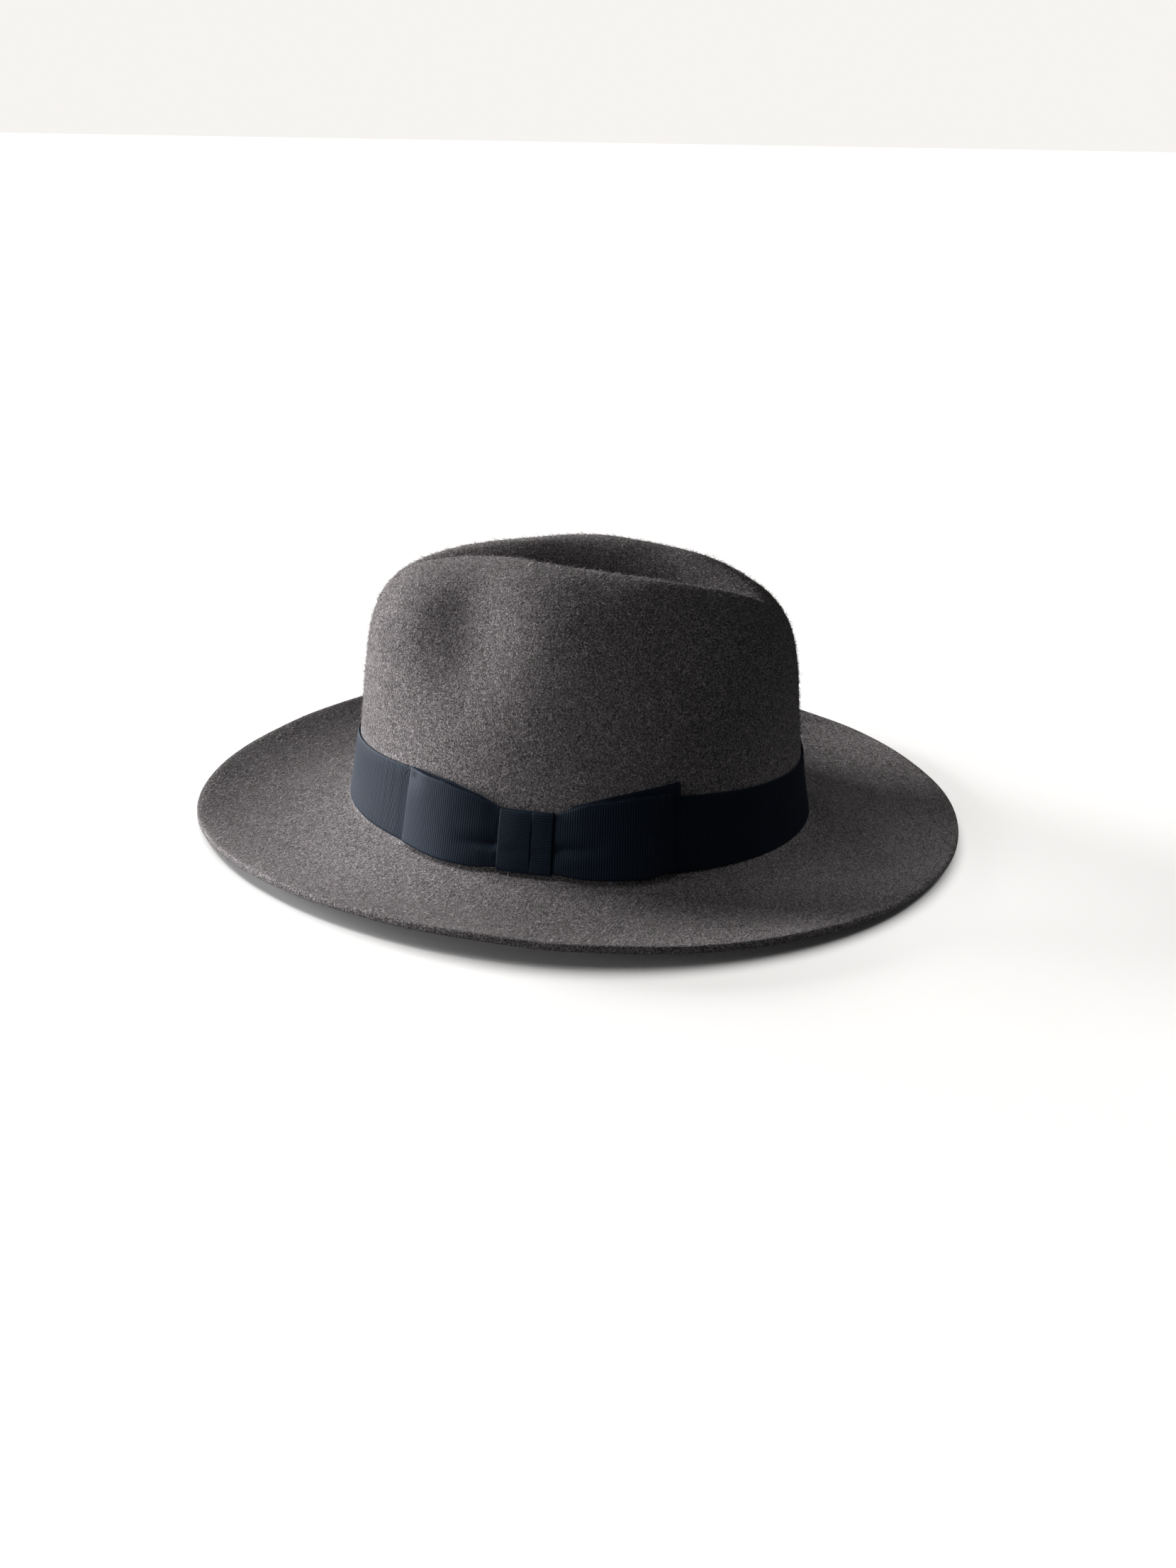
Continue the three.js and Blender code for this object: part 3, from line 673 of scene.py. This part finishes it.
def strip_along(name, line, half, ribs, back, width, put):
    """A strip whose two faces stand off a path; put turns their places along and across it into points."""
    place, tangent, distance = line

    def face(side, relief):
        thickness = side * (half + relief)
        return put(place[:, :1] - tangent[:, 1:] * thickness, place[:, 1:] + tangent[:, :1] * thickness)

    length = np.broadcast_to(distance[:, None], width.shape)
    return thick_sheet(name, face(1, ribs), face(-1, ribs * back), length, width)


def ribbon_strip(name, path, edges, count, rows, shape=None):
    """A ribbed strip along a path of distance and offset. shape presses or lifts its places."""
    line = spline(path, count)
    place, length = line[0], line[2][:, None]
    across = ribbon_rows(rows)
    low, high = edges(place[:, :1])
    height = low + (high - low) * across - scalloped(length, across)
    lift = shape(place[:, :1], height, across, place[:, 1:]) if shape else 0.0

    def put(along, offset):
        return on_side(along, height, offset + lift)

    return strip_along(name, line, RIBBON * FACE_HALF, firm_ribs(length, across), INNER_RIBS, height, put)


def near_knot(along, reach):
    """1 where the knot holds a loop, falling to 0 further along it."""
    return np.clip(1 - np.maximum(np.abs(along) - 11, 0) / reach, 0, 1) ** 1.3


def gathered(along, height, across, outer, crease, reach):
    """The hollow, crease and small pleats that the knot pulls into the outer layer of a loop."""
    pull = near_knot(along, reach)
    held = np.clip((np.abs(along) - 9.5) / 4, 0, 1)
    from_crease = height - crease
    valley, under, over = hump(from_crease, 0, 1.7), hump(from_crease, -5.5, 3.4), hump(from_crease, 7.5, 5)
    pleats = 0.16 * np.cos(across * TAU * 3.5)
    return outer * held * pull * (1.15 * under + 0.9 * over - 1.9 * valley + pleats)


def bow_front_loop():
    """The loop in front of the knot: outer layer, turn and the layer that comes back behind it."""
    path = [
        (-0.4, 3.0), (-6, 3.1), (-13, 3.5), (-20, 5.2), (-32, 6.2), (-46, 5.6), (-56, 4.2), (-59, 2.9),
        (-55, 1.75), (-30, 1.7), (-0.4, 1.7),
    ]
    edges = edges_through([
        (0, 2.2, 22.8), (9, 2.1, 24.2), (13, 1.7, 26.2), (22, 0.6, 29.5), (37, 0.6, 32.7), (59, 2, 34.8),
    ])

    def shape(along, height, across, offset):
        outer = np.clip((offset - 2.5) / 1.0, 0, 1)
        sag = 0.8 * hump(along, -34, 15) * (1 - across) ** 2
        pinned = -0.9 * np.exp(-(((along + 56) / 6) ** 2) - ((across - 1) / 0.22) ** 2)
        return gathered(along, height, across, outer, 10.6, 20) + outer * (sag + pinned)

    return ribbon_strip("bow_loop_front", path, edges, 860, 30, shape)


def bow_rear_loop():
    """The longer loop behind the knot, whose crease rises away from it."""
    path = [
        (0.4, 3.75), (6, 3.8), (13, 4), (23, 5.9), (36, 6.8), (50, 6.2), (58, 5), (60.3, 3.9), (56, 2.75),
        (30, 2.7), (0.4, 2.7),
    ]
    edges = edges_through([
        (0, 2.2, 22.8), (9, 2.1, 24.2), (13, 1.7, 26.4), (24, 0.6, 30.8), (40, 0.5, 33.4), (48, 0.5, 34.3),
        (60, 3, 35.4),
    ])

    def shape(along, height, across, offset):
        outer = np.clip((offset - 3.5) / 1.0, 0, 1)
        crease = 11.2 + 0.13 * np.maximum(along - 13, 0)
        return gathered(along, height, across, outer, crease, 24) * 0.85

    return ribbon_strip("bow_loop_rear", path, edges, 860, 30, shape)


def bow_tail():
    """The ribbon's end under the rear loop, cut a little past it."""
    path = [(0.4, 1.65), (25, 1.65), (45, 1.65), (64.5, 1.75)]
    edges = edges_through([
        (0, 2.2, 22.8), (13, 2.1, 23.8), (17.5, 1.5, 28.9), (34, 1.5, 33.8), (63, 1.6, 40.1),
    ])
    return ribbon_strip("bow_tail_end", path, edges, 400, 16)


def knot_strip(name, start, end, crest, tucked=0.0):
    """A ribbed ribbon over the middle of the bow, from behind its top to behind its foot."""
    line = spline([
        (25.2, 1.7), (25.9, 3.3), (25, 4.9), (19, crest - 0.2), (12.5, crest), (6.5, crest - 0.2),
        (1.9, 4.9), (0.8, 3.3), (1.3, 1.7)], 330)
    place, length = line[0], line[2][:, None]
    across = ribbon_rows(20)
    part = length / length[-1]
    waist = 1 - 0.035 * np.sin(part * math.pi)
    centre = (start + end) / 2
    along = centre + (start + (end - start) * across - centre) * waist - scalloped(length, across)
    crown = 0.3 * (np.sin(math.pi * across) - 0.6) * np.clip((place[:, 1:] - 2) / 3, 0, 1)
    dip = 0.25 * hump(part, 0.62, 0.07) * np.sin(across * 3)
    tuck = np.clip((start + tucked + 0.3 - along) / 0.9, 0, 1) if tucked else 0.0

    def put(height, offset):
        height = height + (13.2 - height) * 0.05 * tuck
        return on_side(along, height, np.maximum(offset + crown - dip - 0.75 * tuck, 1.35))

    return strip_along(name, line, RIBBON * FACE_HALF, firm_ribs(length, across), INNER_RIBS, along, put)


# ---- inside the hat
LEATHER_OUTER, LEATHER_INNER, LEATHER_FOOT, LEATHER_TOP, LEATHER_SLIT = -3.45, -4.55, 2.8, 43.0, 0.008
LINING_OUTER, LINING_CLOTH, LINING_LOOSE, LINING_FOOT = -2.75, 0.35, 1.8, 15.0
LINING_SEAM, LINING_SEAM_GAP = 0.52, 0.006
REED_OFFSET, REED_HEIGHT, REED_RADIUS, REED_SLIT = -4.5, 0.9, 0.75, 0.02
TAPE_CLOTH, TAPE_TAIL, TAPE_TURN, TAPE_SLIT = 0.35, 7.0, 1.45, 0.015
PIPING_RADIUS, PIPING_CLEARANCE, PIPING_SLIT = 0.7, 1.1, 0.01
THREAD_RADIUS = 0.25
STITCH_HEIGHT, STITCH_PITCH, STITCH_GAP, STITCH_SLIT = 2.2, 3.6, 0.9, 0.03
SEAM_MARGIN, SEAM_HALF_ANGLE, SEAM_STITCHES = 4.0, 0.02, 10
TACK_HALF, TACK_BELOW_EDGE, TACK_SLOPE = 1.2, 2.0, 1.2
SMALL_HALF, SMALL_HEIGHT, SMALL_RADIUS, SMALL_LOOP = 0.2, 8.5, 95.0, 12.0
SMALL_WAIST, SMALL_FLARE, SMALL_KNOT_HALF = 2.2, 1.6, 1.8


def open_round(slit, count):
    """Angles round the hat that start and end beside a slit at its rear."""
    return np.linspace(REAR + slit, REAR + TAU - slit, count)[:, None]


def sweatband():
    """The leather strip inside the crown, with a soft upper edge and a slight swell between stitches."""
    theta = open_round(LEATHER_SLIT, 720)
    across = np.linspace(0, 1, 34)[None]
    edge = 0.35 * wobble(wall_layer(theta, 40.0, 0.0)[:, 0], 85, 21)[:, None]
    height = LEATHER_FOOT + (LEATHER_TOP - LEATHER_FOOT) * across + edge * across**3
    middle = (LEATHER_OUTER + LEATHER_INNER) / 2
    half = (LEATHER_OUTER - LEATHER_INNER) / 2
    thin = half * np.clip(np.minimum(across, 1 - across) / 0.03, 0.45, 1) ** 0.6
    points = wall_layer(theta, height, 0.0)
    creases = 0.12 * wobble(points * np.array([1, 1, 2.5]), 24, 22)
    sewn = 0.18 * hump(height, LEATHER_FOOT + STITCH_HEIGHT, 0.9)
    swell = creases * np.clip(across * 6, 0, 1) + sewn - 0.1
    inner = wall_layer(theta, height, middle - thin + np.maximum(swell, -0.2))
    outer = wall_layer(theta, height, middle + thin)
    length = run_of(wall_layer(theta[:, 0], 20.0, LEATHER_INNER))[:, None]
    return thick_sheet("sweatband_leather", inner, outer, np.broadcast_to(length, height.shape), height)


def reed_tape():
    """Cloth tape: a tail against the felt, then a turn under and round the reed."""
    angle = np.linspace(0, -math.pi, 15)
    tail = np.linspace(TAPE_TAIL, REED_HEIGHT, 9)[:-1]
    offset = np.concatenate([np.full(8, REED_OFFSET + TAPE_TURN), REED_OFFSET + TAPE_TURN * np.cos(angle)])
    height = np.concatenate([tail, REED_HEIGHT + TAPE_TURN * np.sin(angle)])
    out = np.concatenate([np.ones(8), np.cos(angle)])
    up = np.concatenate([np.zeros(8), np.sin(angle)])
    theta = open_round(TAPE_SLIT, 620)

    def face(side):
        points = wall_layer(theta, np.maximum(height, 0)[None], (offset + out * side * TAPE_CLOTH / 2)[None])
        points[..., 2] += (np.minimum(height, 0) + up * side * TAPE_CLOTH / 2)[None]
        return points

    length = run_of(wall_layer(theta[:, 0], 0.0, REED_OFFSET))[:, None]
    across = run_of(np.stack([offset, height], -1))[None]
    grid = np.broadcast_arrays(length, across)
    return thick_sheet("reed_tape_cloth", face(1), face(-1), *grid)


def lining_point(theta, climb, depth):
    """A point on the lining, which hangs looser towards the top; depth is from its outer face."""
    foot = climb_at(theta, LINING_FOOT)
    rise = np.minimum((climb - foot) / (LINING_SEAM - foot), 1)
    return crown_layer(theta, climb, LINING_OUTER - LINING_LOOSE * rise**3 - depth)


def lining_wall():
    """Side wall of the lining, with the small gathers that its seam draws into it."""
    theta = np.linspace(0, TAU, 900, endpoint=False)[:, None]
    foot = climb_at(theta, LINING_FOOT)
    rise = np.linspace(0, 1, 30)[None]
    climb = foot + (LINING_SEAM - LINING_SEAM_GAP - foot) * rise
    gathers = 0.35 * (1 + np.cos(theta * 96 + 2.2 * np.sin(theta * 7))) * rise**2.2
    slack = 0.5 * (1 + wobble(crown_point(theta, climb), 40, 23)) * np.sin(math.pi * rise)
    inner = lining_point(theta, climb, LINING_CLOTH + gathers + slack)
    outer = lining_point(theta, climb, gathers + slack)
    return thick_sheet("lining_side", inner, outer, *np.broadcast_arrays(theta * 90, rise * 60), ring=True)


def lining_tip():
    """Top panel of the lining, a little slack."""
    theta = np.linspace(0, TAU, 480, endpoint=False)
    climb = np.linspace(LINING_SEAM + LINING_SEAM_GAP, POLE_CLIMB, 44)[:, None]
    rise = (climb - climb[0]) / (climb[-1] - climb[0])
    gathers = 0.3 * (1 + np.cos(theta * 96)) * (1 - rise) ** 4
    slack = 0.6 * (1 + wobble(crown_point(theta, climb), 34, 24)) * np.sin(math.pi * rise)
    outer = lining_point(theta, climb, gathers + slack)
    inner = lining_point(theta, climb, LINING_CLOTH + gathers + slack)
    above, below = (pole(crown_layer, LINING_OUTER - LINING_LOOSE - cloth) for cloth in (0.0, LINING_CLOTH))
    return pole_to_pole("lining_top", above, np.concatenate([outer[::-1], inner]), below)


def lining_piping():
    """Twisted cord over the seam between the lining's wall and its tip."""
    theta = open_round(PIPING_SLIT, 900)[:, 0]
    twist = PIPING_RADIUS * (1 + 0.08 * np.cos(theta * 300))
    line = lining_point(theta, LINING_SEAM, LINING_CLOTH + PIPING_CLEARANCE)
    return round_cord("lining_cord", line, twist, 10)


def sweatband_stitches():
    """The row of stitches along the sweatband's foot: each lies on the leather and dips into it."""
    offset = LEATHER_INNER - GAP - THREAD_RADIUS
    theta = open_round(STITCH_SLIT, 3600)[:, 0]
    line = wall_layer(theta, LEATHER_FOOT + STITCH_HEIGHT, offset)
    part = np.mod(run_of(line), STITCH_PITCH) / STITCH_PITCH
    hidden = np.clip((np.abs(part - 0.5) * 2 - (1 - STITCH_GAP / STITCH_PITCH)) * 6, 0, 1)
    line = wall_layer(theta, LEATHER_FOOT + STITCH_HEIGHT, offset + 0.75 * hidden)
    return round_cord("sweatband_stitches", line, THREAD_RADIUS * (1 - 0.3 * hidden), 6)


def rear_seam():
    """Zigzag thread that draws the sweatband's two ends together."""
    low, high = LEATHER_FOOT + SEAM_MARGIN, LEATHER_TOP - SEAM_MARGIN
    height = np.linspace(low, high, 400)
    place = (height - low) / (high - low) * SEAM_STITCHES
    theta = REAR + SEAM_HALF_ANGLE * (2 * np.abs(2 * (place / 2 - np.floor(place / 2 + 0.5))) - 1)
    line = wall_layer(theta, height, LEATHER_INNER - GAP - THREAD_RADIUS)
    return round_cord("sweatband_seam", line, THREAD_RADIUS, 8)


def inside_rear(across, height, depth):
    """A place on the inside of the sweatband's rear, measured from its seam."""
    return wall_layer(REAR + across / SMALL_RADIUS, height, LEATHER_INNER - GAP - depth)


def small_strip(name, path, count, rows, place_on):
    """A narrow ribbed ribbon along a path; place_on turns its places and reaches into points."""
    line = spline(path, count)
    across = np.linspace(0, 1, rows)[None]
    ribs = 0.35 * rib(line[2] / 0.7)[:, None]
    width = np.broadcast_to(across * 6, (count, rows))

    def put(along, depth):
        return place_on(along, depth, across, line[0])

    return strip_along(name, line, SMALL_HALF, ribs, 0.0, width, put)


def small_bow_loops():
    """Both loops of the small bow in one strip, wider towards their ends."""
    path = [
        (0.4, 1.2), (6, 1.2), (10.5, 1.5), (12, 2.2), (10.5, 2.9), (6, 2.9), (0, 2.6),
        (-6, 2.9), (-10.5, 2.9), (-12, 2.2), (-10.5, 1.5), (-6, 1.2), (-0.4, 1.2),
    ]

    def place_on(along, depth, across, place):
        tall = SMALL_WAIST + SMALL_FLARE * np.abs(place[:, :1] / SMALL_LOOP)
        return inside_rear(along, SMALL_HEIGHT + tall * (2 * across - 1), depth)

    return small_strip("small_bow_loops", path, 560, 12, place_on)


def small_bow_knot():
    """The strip round the middle of the small bow."""
    path = [(11.7, 0.9), (12, 2), (10.9, 3.3), (8.5, 3.5), (6.1, 3.3), (5, 2), (5.3, 0.9)]

    def place_on(height, depth, across, _place):
        return inside_rear(SMALL_KNOT_HALF * (2 * across - 1), height, depth)

    return small_strip("small_bow_knot", path, 160, 10, place_on)


def tack(name, theta, height, offset, slope):
    """A short stitch on the ribbon: two turns of thread side by side, drawn in at both ends."""
    t = np.linspace(-1, 1, 60)
    turn = t * TACK_HALF * math.cos(slope) / ARC_RADIUS
    sink = 0.45 * np.clip((np.abs(t) - 0.75) * 4, 0, 1) ** 2
    climbing = height + t * TACK_HALF * math.sin(slope)
    line = wall_layer(theta + turn, climbing, offset + GAP + THREAD_RADIUS - sink)
    return round_cord(name, line, THREAD_RADIUS * (1 + 0.15 * np.cos(t * 24)), 10)


# ---- nap
FIBRE_SWIRL, FIBRE_CURL, FIBRE_SIZES = 1.1, 0.45, 0.4  # spreads of the random draws
FIBRE_SUNK = 0.15
FIBRE_LIFTS, FIBRE_RADII = (0.1, 0.85), (0.04, 0.085)
STRAY_LIFTS, STRAY_RADII = (0.5, 1.5), (0.035, 0.06)
UNDER_CLEAR = 1.5  # height over the floor from which the underside has fibres
TAIL_REACH, LOOP_REACH = 66, 61


def crown_nap(theta, climb):
    return living_crown(theta, climb, 0.0)


def under_nap(theta, reach):
    points = brim_point(theta, reach)
    points[..., 2] = np.maximum(points[..., 2] - BRIM_FELT, 0)
    return points


def above_band(root, theta):
    """Which fibres no ribbon covers."""
    turn = (theta + math.pi) % TAU - math.pi
    along = ARC_RADIUS * turn
    top = np.minimum(BAND_TOP, BAND_UNDER_KNOT + BAND_RISE * np.abs(along)) + 0.8
    tail = np.where((along > 0) & (along < TAIL_REACH), 24 + 0.33 * np.maximum(along - 11, 0) + 1.5, 0)
    loop = np.where((along < 0) & (along > -LOOP_REACH), 25 + 0.28 * np.maximum(-along - 11, 0) + 1.5, 0)
    return root[:, 2] - BREAK_HEIGHT > np.maximum(np.maximum(top, np.minimum(loop, 36)), tail)


def everywhere(root, _theta):
    return np.ones(len(root), bool)


def off_the_floor(root, _theta):
    """Which fibres of the underside stand clear of what the hat rests on."""
    return root[:, 2] > UNDER_CLEAR


FELT_FACES = {
    # name: points, range of the second parameter, which fibres stay, the way they lie, side of the normal
    "crown": (crown_nap, (0.1, 0.995), above_band, 0.4, -1),
    "brim": (brim_point, (0.06, 0.998), everywhere, 1.2, 1),
    "under": (under_nap, (0.06, 0.998), off_the_floor, 1.2, -1),
}


def scattered(surface, low, high, count, rng):
    """Random places spread over a surface by its area, as its two parameters."""
    steps = 240
    u, v = np.meshgrid(np.linspace(0, TAU, steps + 1), np.linspace(low, high, steps + 1), indexing="ij")
    grid = surface(u, v)
    side, up = grid[1:, :-1] - grid[:-1, :-1], grid[:-1, 1:] - grid[:-1, :-1]
    area = np.linalg.norm(np.cross(side, up), axis=-1).ravel()
    cell = rng.choice(area.size, count, p=area / area.sum())
    cell_u, cell_v = np.divmod(cell, steps)
    at_u = TAU * (cell_u + rng.random(count)) / steps
    at_v = low + (high - low) * (cell_v + rng.random(count)) / steps
    return at_u, at_v


def fibre_faces(total):
    """Faces of spikes with seven points each: three at the root, three half way and the tip."""
    shape = [(2, 1, 0), (3, 4, 6), (4, 5, 6), (5, 3, 6)]
    shape += [(a, b, b + 3) for a, b in ((0, 1), (1, 2), (2, 0))]
    shape += [(a, b + 3, a + 3) for a, b in ((0, 1), (1, 2), (2, 0))]
    return (np.arange(total)[:, None, None] * 7 + np.array(shape)[None]).reshape(-1, 3)


def nap(name, felt_face, count, seed, length, lifts=FIBRE_LIFTS, radii=FIBRE_RADII):
    """Fine fur fibres on one face of the felt, each a thin tapered spike that points out of it."""
    surface, (low, high), keep, flow, felt_side = FELT_FACES[felt_face]
    rng = np.random.default_rng(seed)
    at_u, at_v = scattered(surface, low, high, count, rng)
    small = 1e-3
    root = surface(at_u, at_v)
    along = unit(surface(at_u + small, at_v) - surface(at_u - small, at_v))
    down = unit(surface(at_u, at_v - small) - surface(at_u, np.minimum(at_v + small, high)))
    normal = unit(np.cross(along, down)) * felt_side
    chosen = keep(root, at_u)
    root, along, down, normal = root[chosen], along[chosen], down[chosen], normal[chosen]
    total = len(root)
    turn = flow + rng.normal(0, FIBRE_SWIRL, (total, 1))
    lean = along * np.cos(turn) + down * np.sin(turn)
    long = length * rng.lognormal(-0.1, FIBRE_SIZES, (total, 1))
    lift = rng.uniform(*lifts, (total, 1)) ** 1.5
    curl = np.cross(normal, lean) * rng.normal(0, FIBRE_CURL, (total, 1))
    first = unit(lean + normal * lift + curl * 0.3)
    second = unit(lean + normal * lift * 0.15 + curl)
    middle = root + first * long * 0.5
    radius = rng.uniform(*radii, (total, 1))
    wide = unit(np.cross(first, normal))
    high_side = np.cross(wide, first)
    points = np.empty((total, 7, 3))
    for k in range(3):
        angle = TAU * k / 3
        out = wide * math.cos(angle) + high_side * math.sin(angle)
        points[:, k] = root - normal * FIBRE_SUNK + out * radius
        points[:, 3 + k] = middle + out * radius * 0.8
    points[:, 6] = middle + second * long * 0.5
    return mesh_object(name, points.reshape(-1, 3), fibre_faces(total))


# ---- studio
CAMERA_AZIMUTH, CAMERA_ELEVATION, CAMERA_ROLL = 103.87, 23.39, 0.89
CAMERA_DISTANCE, CAMERA_LENS, CAMERA_SHIFT = 0.7, 34.98, (0.0068, 0.0059)
LAMP_DISTANCE, LAMP_RADIUS = 0.6, 0.06
FLOOR_REACH = 60.0
FLOOR_LEVEL = -0.0003  # just clear of the brim, so that the two never share a plane
DIM_ROOM = 0.06


def towards(azimuth, elevation):
    """A direction in degrees: azimuth 0 is in front of the hat and 90 on its left side."""
    a, e = math.radians(azimuth), math.radians(elevation)
    return Vector((math.sin(a) * math.cos(e), -math.cos(a) * math.cos(e), math.sin(e)))


def camera():
    """The camera looks at the brim break from in front of the hat's left side, a little above it."""
    azimuth, roll = math.radians(CAMERA_AZIMUTH), math.radians(CAMERA_ROLL)
    back = towards(CAMERA_AZIMUTH, CAMERA_ELEVATION)
    right = Vector((math.cos(azimuth), math.sin(azimuth), 0))
    up = back.cross(right)
    turned_right = right * math.cos(roll) + up * math.sin(roll)
    turned_up = up * math.cos(roll) - right * math.sin(roll)
    data = bpy.data.cameras.new("camera")
    data.lens = CAMERA_LENS
    data.shift_x, data.shift_y = CAMERA_SHIFT
    data.clip_start = 0.01
    matrix = Matrix((turned_right, turned_up, back)).transposed().to_4x4()
    matrix.translation = Vector((0, SIDE_Y * MM, BREAK_HEIGHT * MM)) + back * CAMERA_DISTANCE
    view = linked("camera", data)
    view.matrix_world = matrix
    bpy.context.scene.camera = view


def floor():
    """A plain pale floor. Its bounce is left out, as the room round the hat is dim."""
    mesh = bpy.data.meshes.new("floor")
    around = ((-1, -1), (1, -1), (1, 1), (-1, 1))
    corners = [(x * FLOOR_REACH, y * FLOOR_REACH, FLOOR_LEVEL) for x, y in around]
    mesh.from_pydata(corners, [], [(0, 1, 2, 3)])
    ground = linked("floor", mesh)
    n = Nodes("floor_paint")
    n.set("Base Color", n.ramp(n.noise(n.coordinates(), 3, 2), [(0.3, grey(0.80)), (0.7, grey(0.82))]))
    n.set("Roughness", 0.95)
    n.set("Specular IOR Level", 0.1)
    mesh.materials.append(n.material)
    ground.visible_diffuse = False
    ground.visible_glossy = False
    return ground


def sun(name, azimuth, elevation, strength, width, colour=(1, 1, 1), only=None):
    """A soft far light, width degrees across. It lights one object if only is given."""
    data = bpy.data.lights.new(name, "SUN")
    data.energy = strength
    data.angle = math.radians(width)
    data.color = colour
    light = linked(name, data)
    light.rotation_euler = towards(azimuth, elevation).to_track_quat("Z", "Y").to_euler()
    if only is not None:
        lit = bpy.data.collections.new(name + "_lights")
        lit.objects.link(only)
        light.light_linking.receiver_collection = lit


def lamp(name, target, azimuth, elevation, power, cone):
    """A soft lamp that lights one part of the brim: target is in millimetres, cone in degrees."""
    data = bpy.data.lights.new(name, "SPOT")
    data.energy = power
    data.spot_size = math.radians(cone)
    data.spot_blend = 1.0
    data.shadow_soft_size = LAMP_RADIUS
    light = linked(name, data)
    back = towards(azimuth, elevation)
    light.location = Vector(target) * MM + back * LAMP_DISTANCE
    light.rotation_euler = back.to_track_quat("Z", "Y").to_euler()


def room_light():
    """A dim room that lights the hat, and a pale backdrop that only the camera sees."""
    world = bpy.data.worlds.new("studio")
    bpy.context.scene.world = world
    world.use_nodes = True
    tree = world.node_tree
    background = next(n for n in tree.nodes if n.type == "BACKGROUND")
    background.inputs["Color"].default_value = (0.96, 0.98, 1.0, 1)
    background.inputs["Strength"].default_value = DIM_ROOM
    backdrop = tree.nodes.new("ShaderNodeBackground")
    backdrop.inputs["Color"].default_value = (0.93, 0.91, 0.88, 1)
    backdrop.inputs["Strength"].default_value = 1.0
    seen = tree.nodes.new("ShaderNodeLightPath")
    blend = tree.nodes.new("ShaderNodeMixShader")
    out = next(n for n in tree.nodes if n.type == "OUTPUT_WORLD")
    tree.links.new(seen.outputs["Is Camera Ray"], blend.inputs[0])
    tree.links.new(background.outputs[0], blend.inputs[1])
    tree.links.new(backdrop.outputs[0], blend.inputs[2])
    tree.links.new(blend.outputs[0], out.inputs[0])


def lights(ground):
    """The window from three sides, two lamps on the brim and an even light on the floor alone."""
    room_light()
    sun("window", -8, 8, 5.8, 24, (1.0, 0.985, 0.985))
    sun("front_window", -45, 10, 1.2, 24, (1.0, 0.985, 0.975))
    sun("side_window", 35, 8, 0.8, 24, (1.0, 0.985, 0.985))
    lamp("left_lamp", (100, -78, 4), 50, 64, 12.0, 19)
    lamp("right_lamp", (45, 152, 6), 165, 66, 4.0, 15)
    sun("floor_light", 0, 88, 2.9, 70, (1.0, 0.985, 0.96), only=ground)
    view = bpy.context.scene.view_settings
    view.view_transform = "Standard"
    view.look = "None"
    view.exposure = 0.0
    view.gamma = 1.0


# ---- the scene
camera()
FELT = felt_material()
FUR = fur_material()
GROSGRAIN = grosgrain_material()
LEATHER = leather_material()
SATIN = satin_material()
TAPE = woven_material("tape_weave", (0.012, 0.011, 0.010), (0.035, 0.032, 0.030), 0.0004)
THREAD = woven_material("thread_twist", (0.004, 0.005, 0.008), (0.016, 0.019, 0.028), 0.0003)
REED = reed_material()

KNOT_FIRST, KNOT_SECOND = (-11.2, 2.6, 5.8), (0.4, 11.2, 5.3, 1.75)
dress(felt_body(), FELT, "felt", "felt_body")
for piece, node in (
    (hatband(), "hatband_ribbon"),
    (bow_front_loop(), "bow_front_loop"),
    (bow_rear_loop(), "bow_rear_loop"),
    (bow_tail(), "bow_tail"),
    (knot_strip("bow_knot_first", *KNOT_FIRST), "bow_knot_wrap"),
    (knot_strip("bow_knot_second", *KNOT_SECOND), "bow_knot_turn"),
    (small_bow_loops(), "sweatband_bow_loops"),
    (small_bow_knot(), "sweatband_bow_knot"),
):
    dress(piece, GROSGRAIN, "ribbon", node)

FIBRES = 19500
for part, seed, length in (("a", 11, 1.9), ("b", 12, 2.1)):
    dress(nap("nap_crown_" + part, "crown", FIBRES, seed, length), FUR, "felt")
    dress(nap("nap_brim_" + part, "brim", FIBRES, seed + 10, length), FUR, "felt")
dress(nap("nap_under", "under", FIBRES, 31, 1.6), FUR, "felt")
for felt_face, seed, length in (("crown", 41, 2.5), ("brim", 42, 2.4)):  # sparse hairs that stand off the nap
    strays = nap("nap_long_" + felt_face, felt_face, FIBRES // 3, seed, length, STRAY_LIFTS, STRAY_RADII)
    dress(strays, FUR, "felt")

reed_line = wall_layer(open_round(REED_SLIT, 720)[:, 0], REED_HEIGHT, REED_OFFSET)
reed = round_cord("sweatband_reed_cord", reed_line, REED_RADIUS, 14)
dress(reed, REED, "reed", "sweatband_reed")
dress(sweatband(), LEATHER, "leather", "sweatband")
dress(reed_tape(), TAPE, "tape", "reed_tape")
dress(sweatband_stitches(), THREAD, "thread", "sweatband_stitching")
dress(rear_seam(), THREAD, "thread", "sweatband_seam_thread")
dress(lining_wall(), SATIN, "satin", "lining_wall")
dress(lining_tip(), SATIN, "satin", "lining_tip")
dress(lining_piping(), TAPE, "tape", "lining_piping")

dress(tack("tack_bow_front", -0.57, 32.5, 4.6, 0.9), THREAD, "thread", "bow_tack_front")
for side, theta in (("front", -REAR), ("right", 2 * REAR), ("back", REAR)):
    stitch = tack("tack_band_" + side, theta, BAND_TOP - TACK_BELOW_EDGE, GAP + RIBBON, TACK_SLOPE)
    dress(stitch, THREAD, "thread", "band_tack_" + side)

lights(floor())
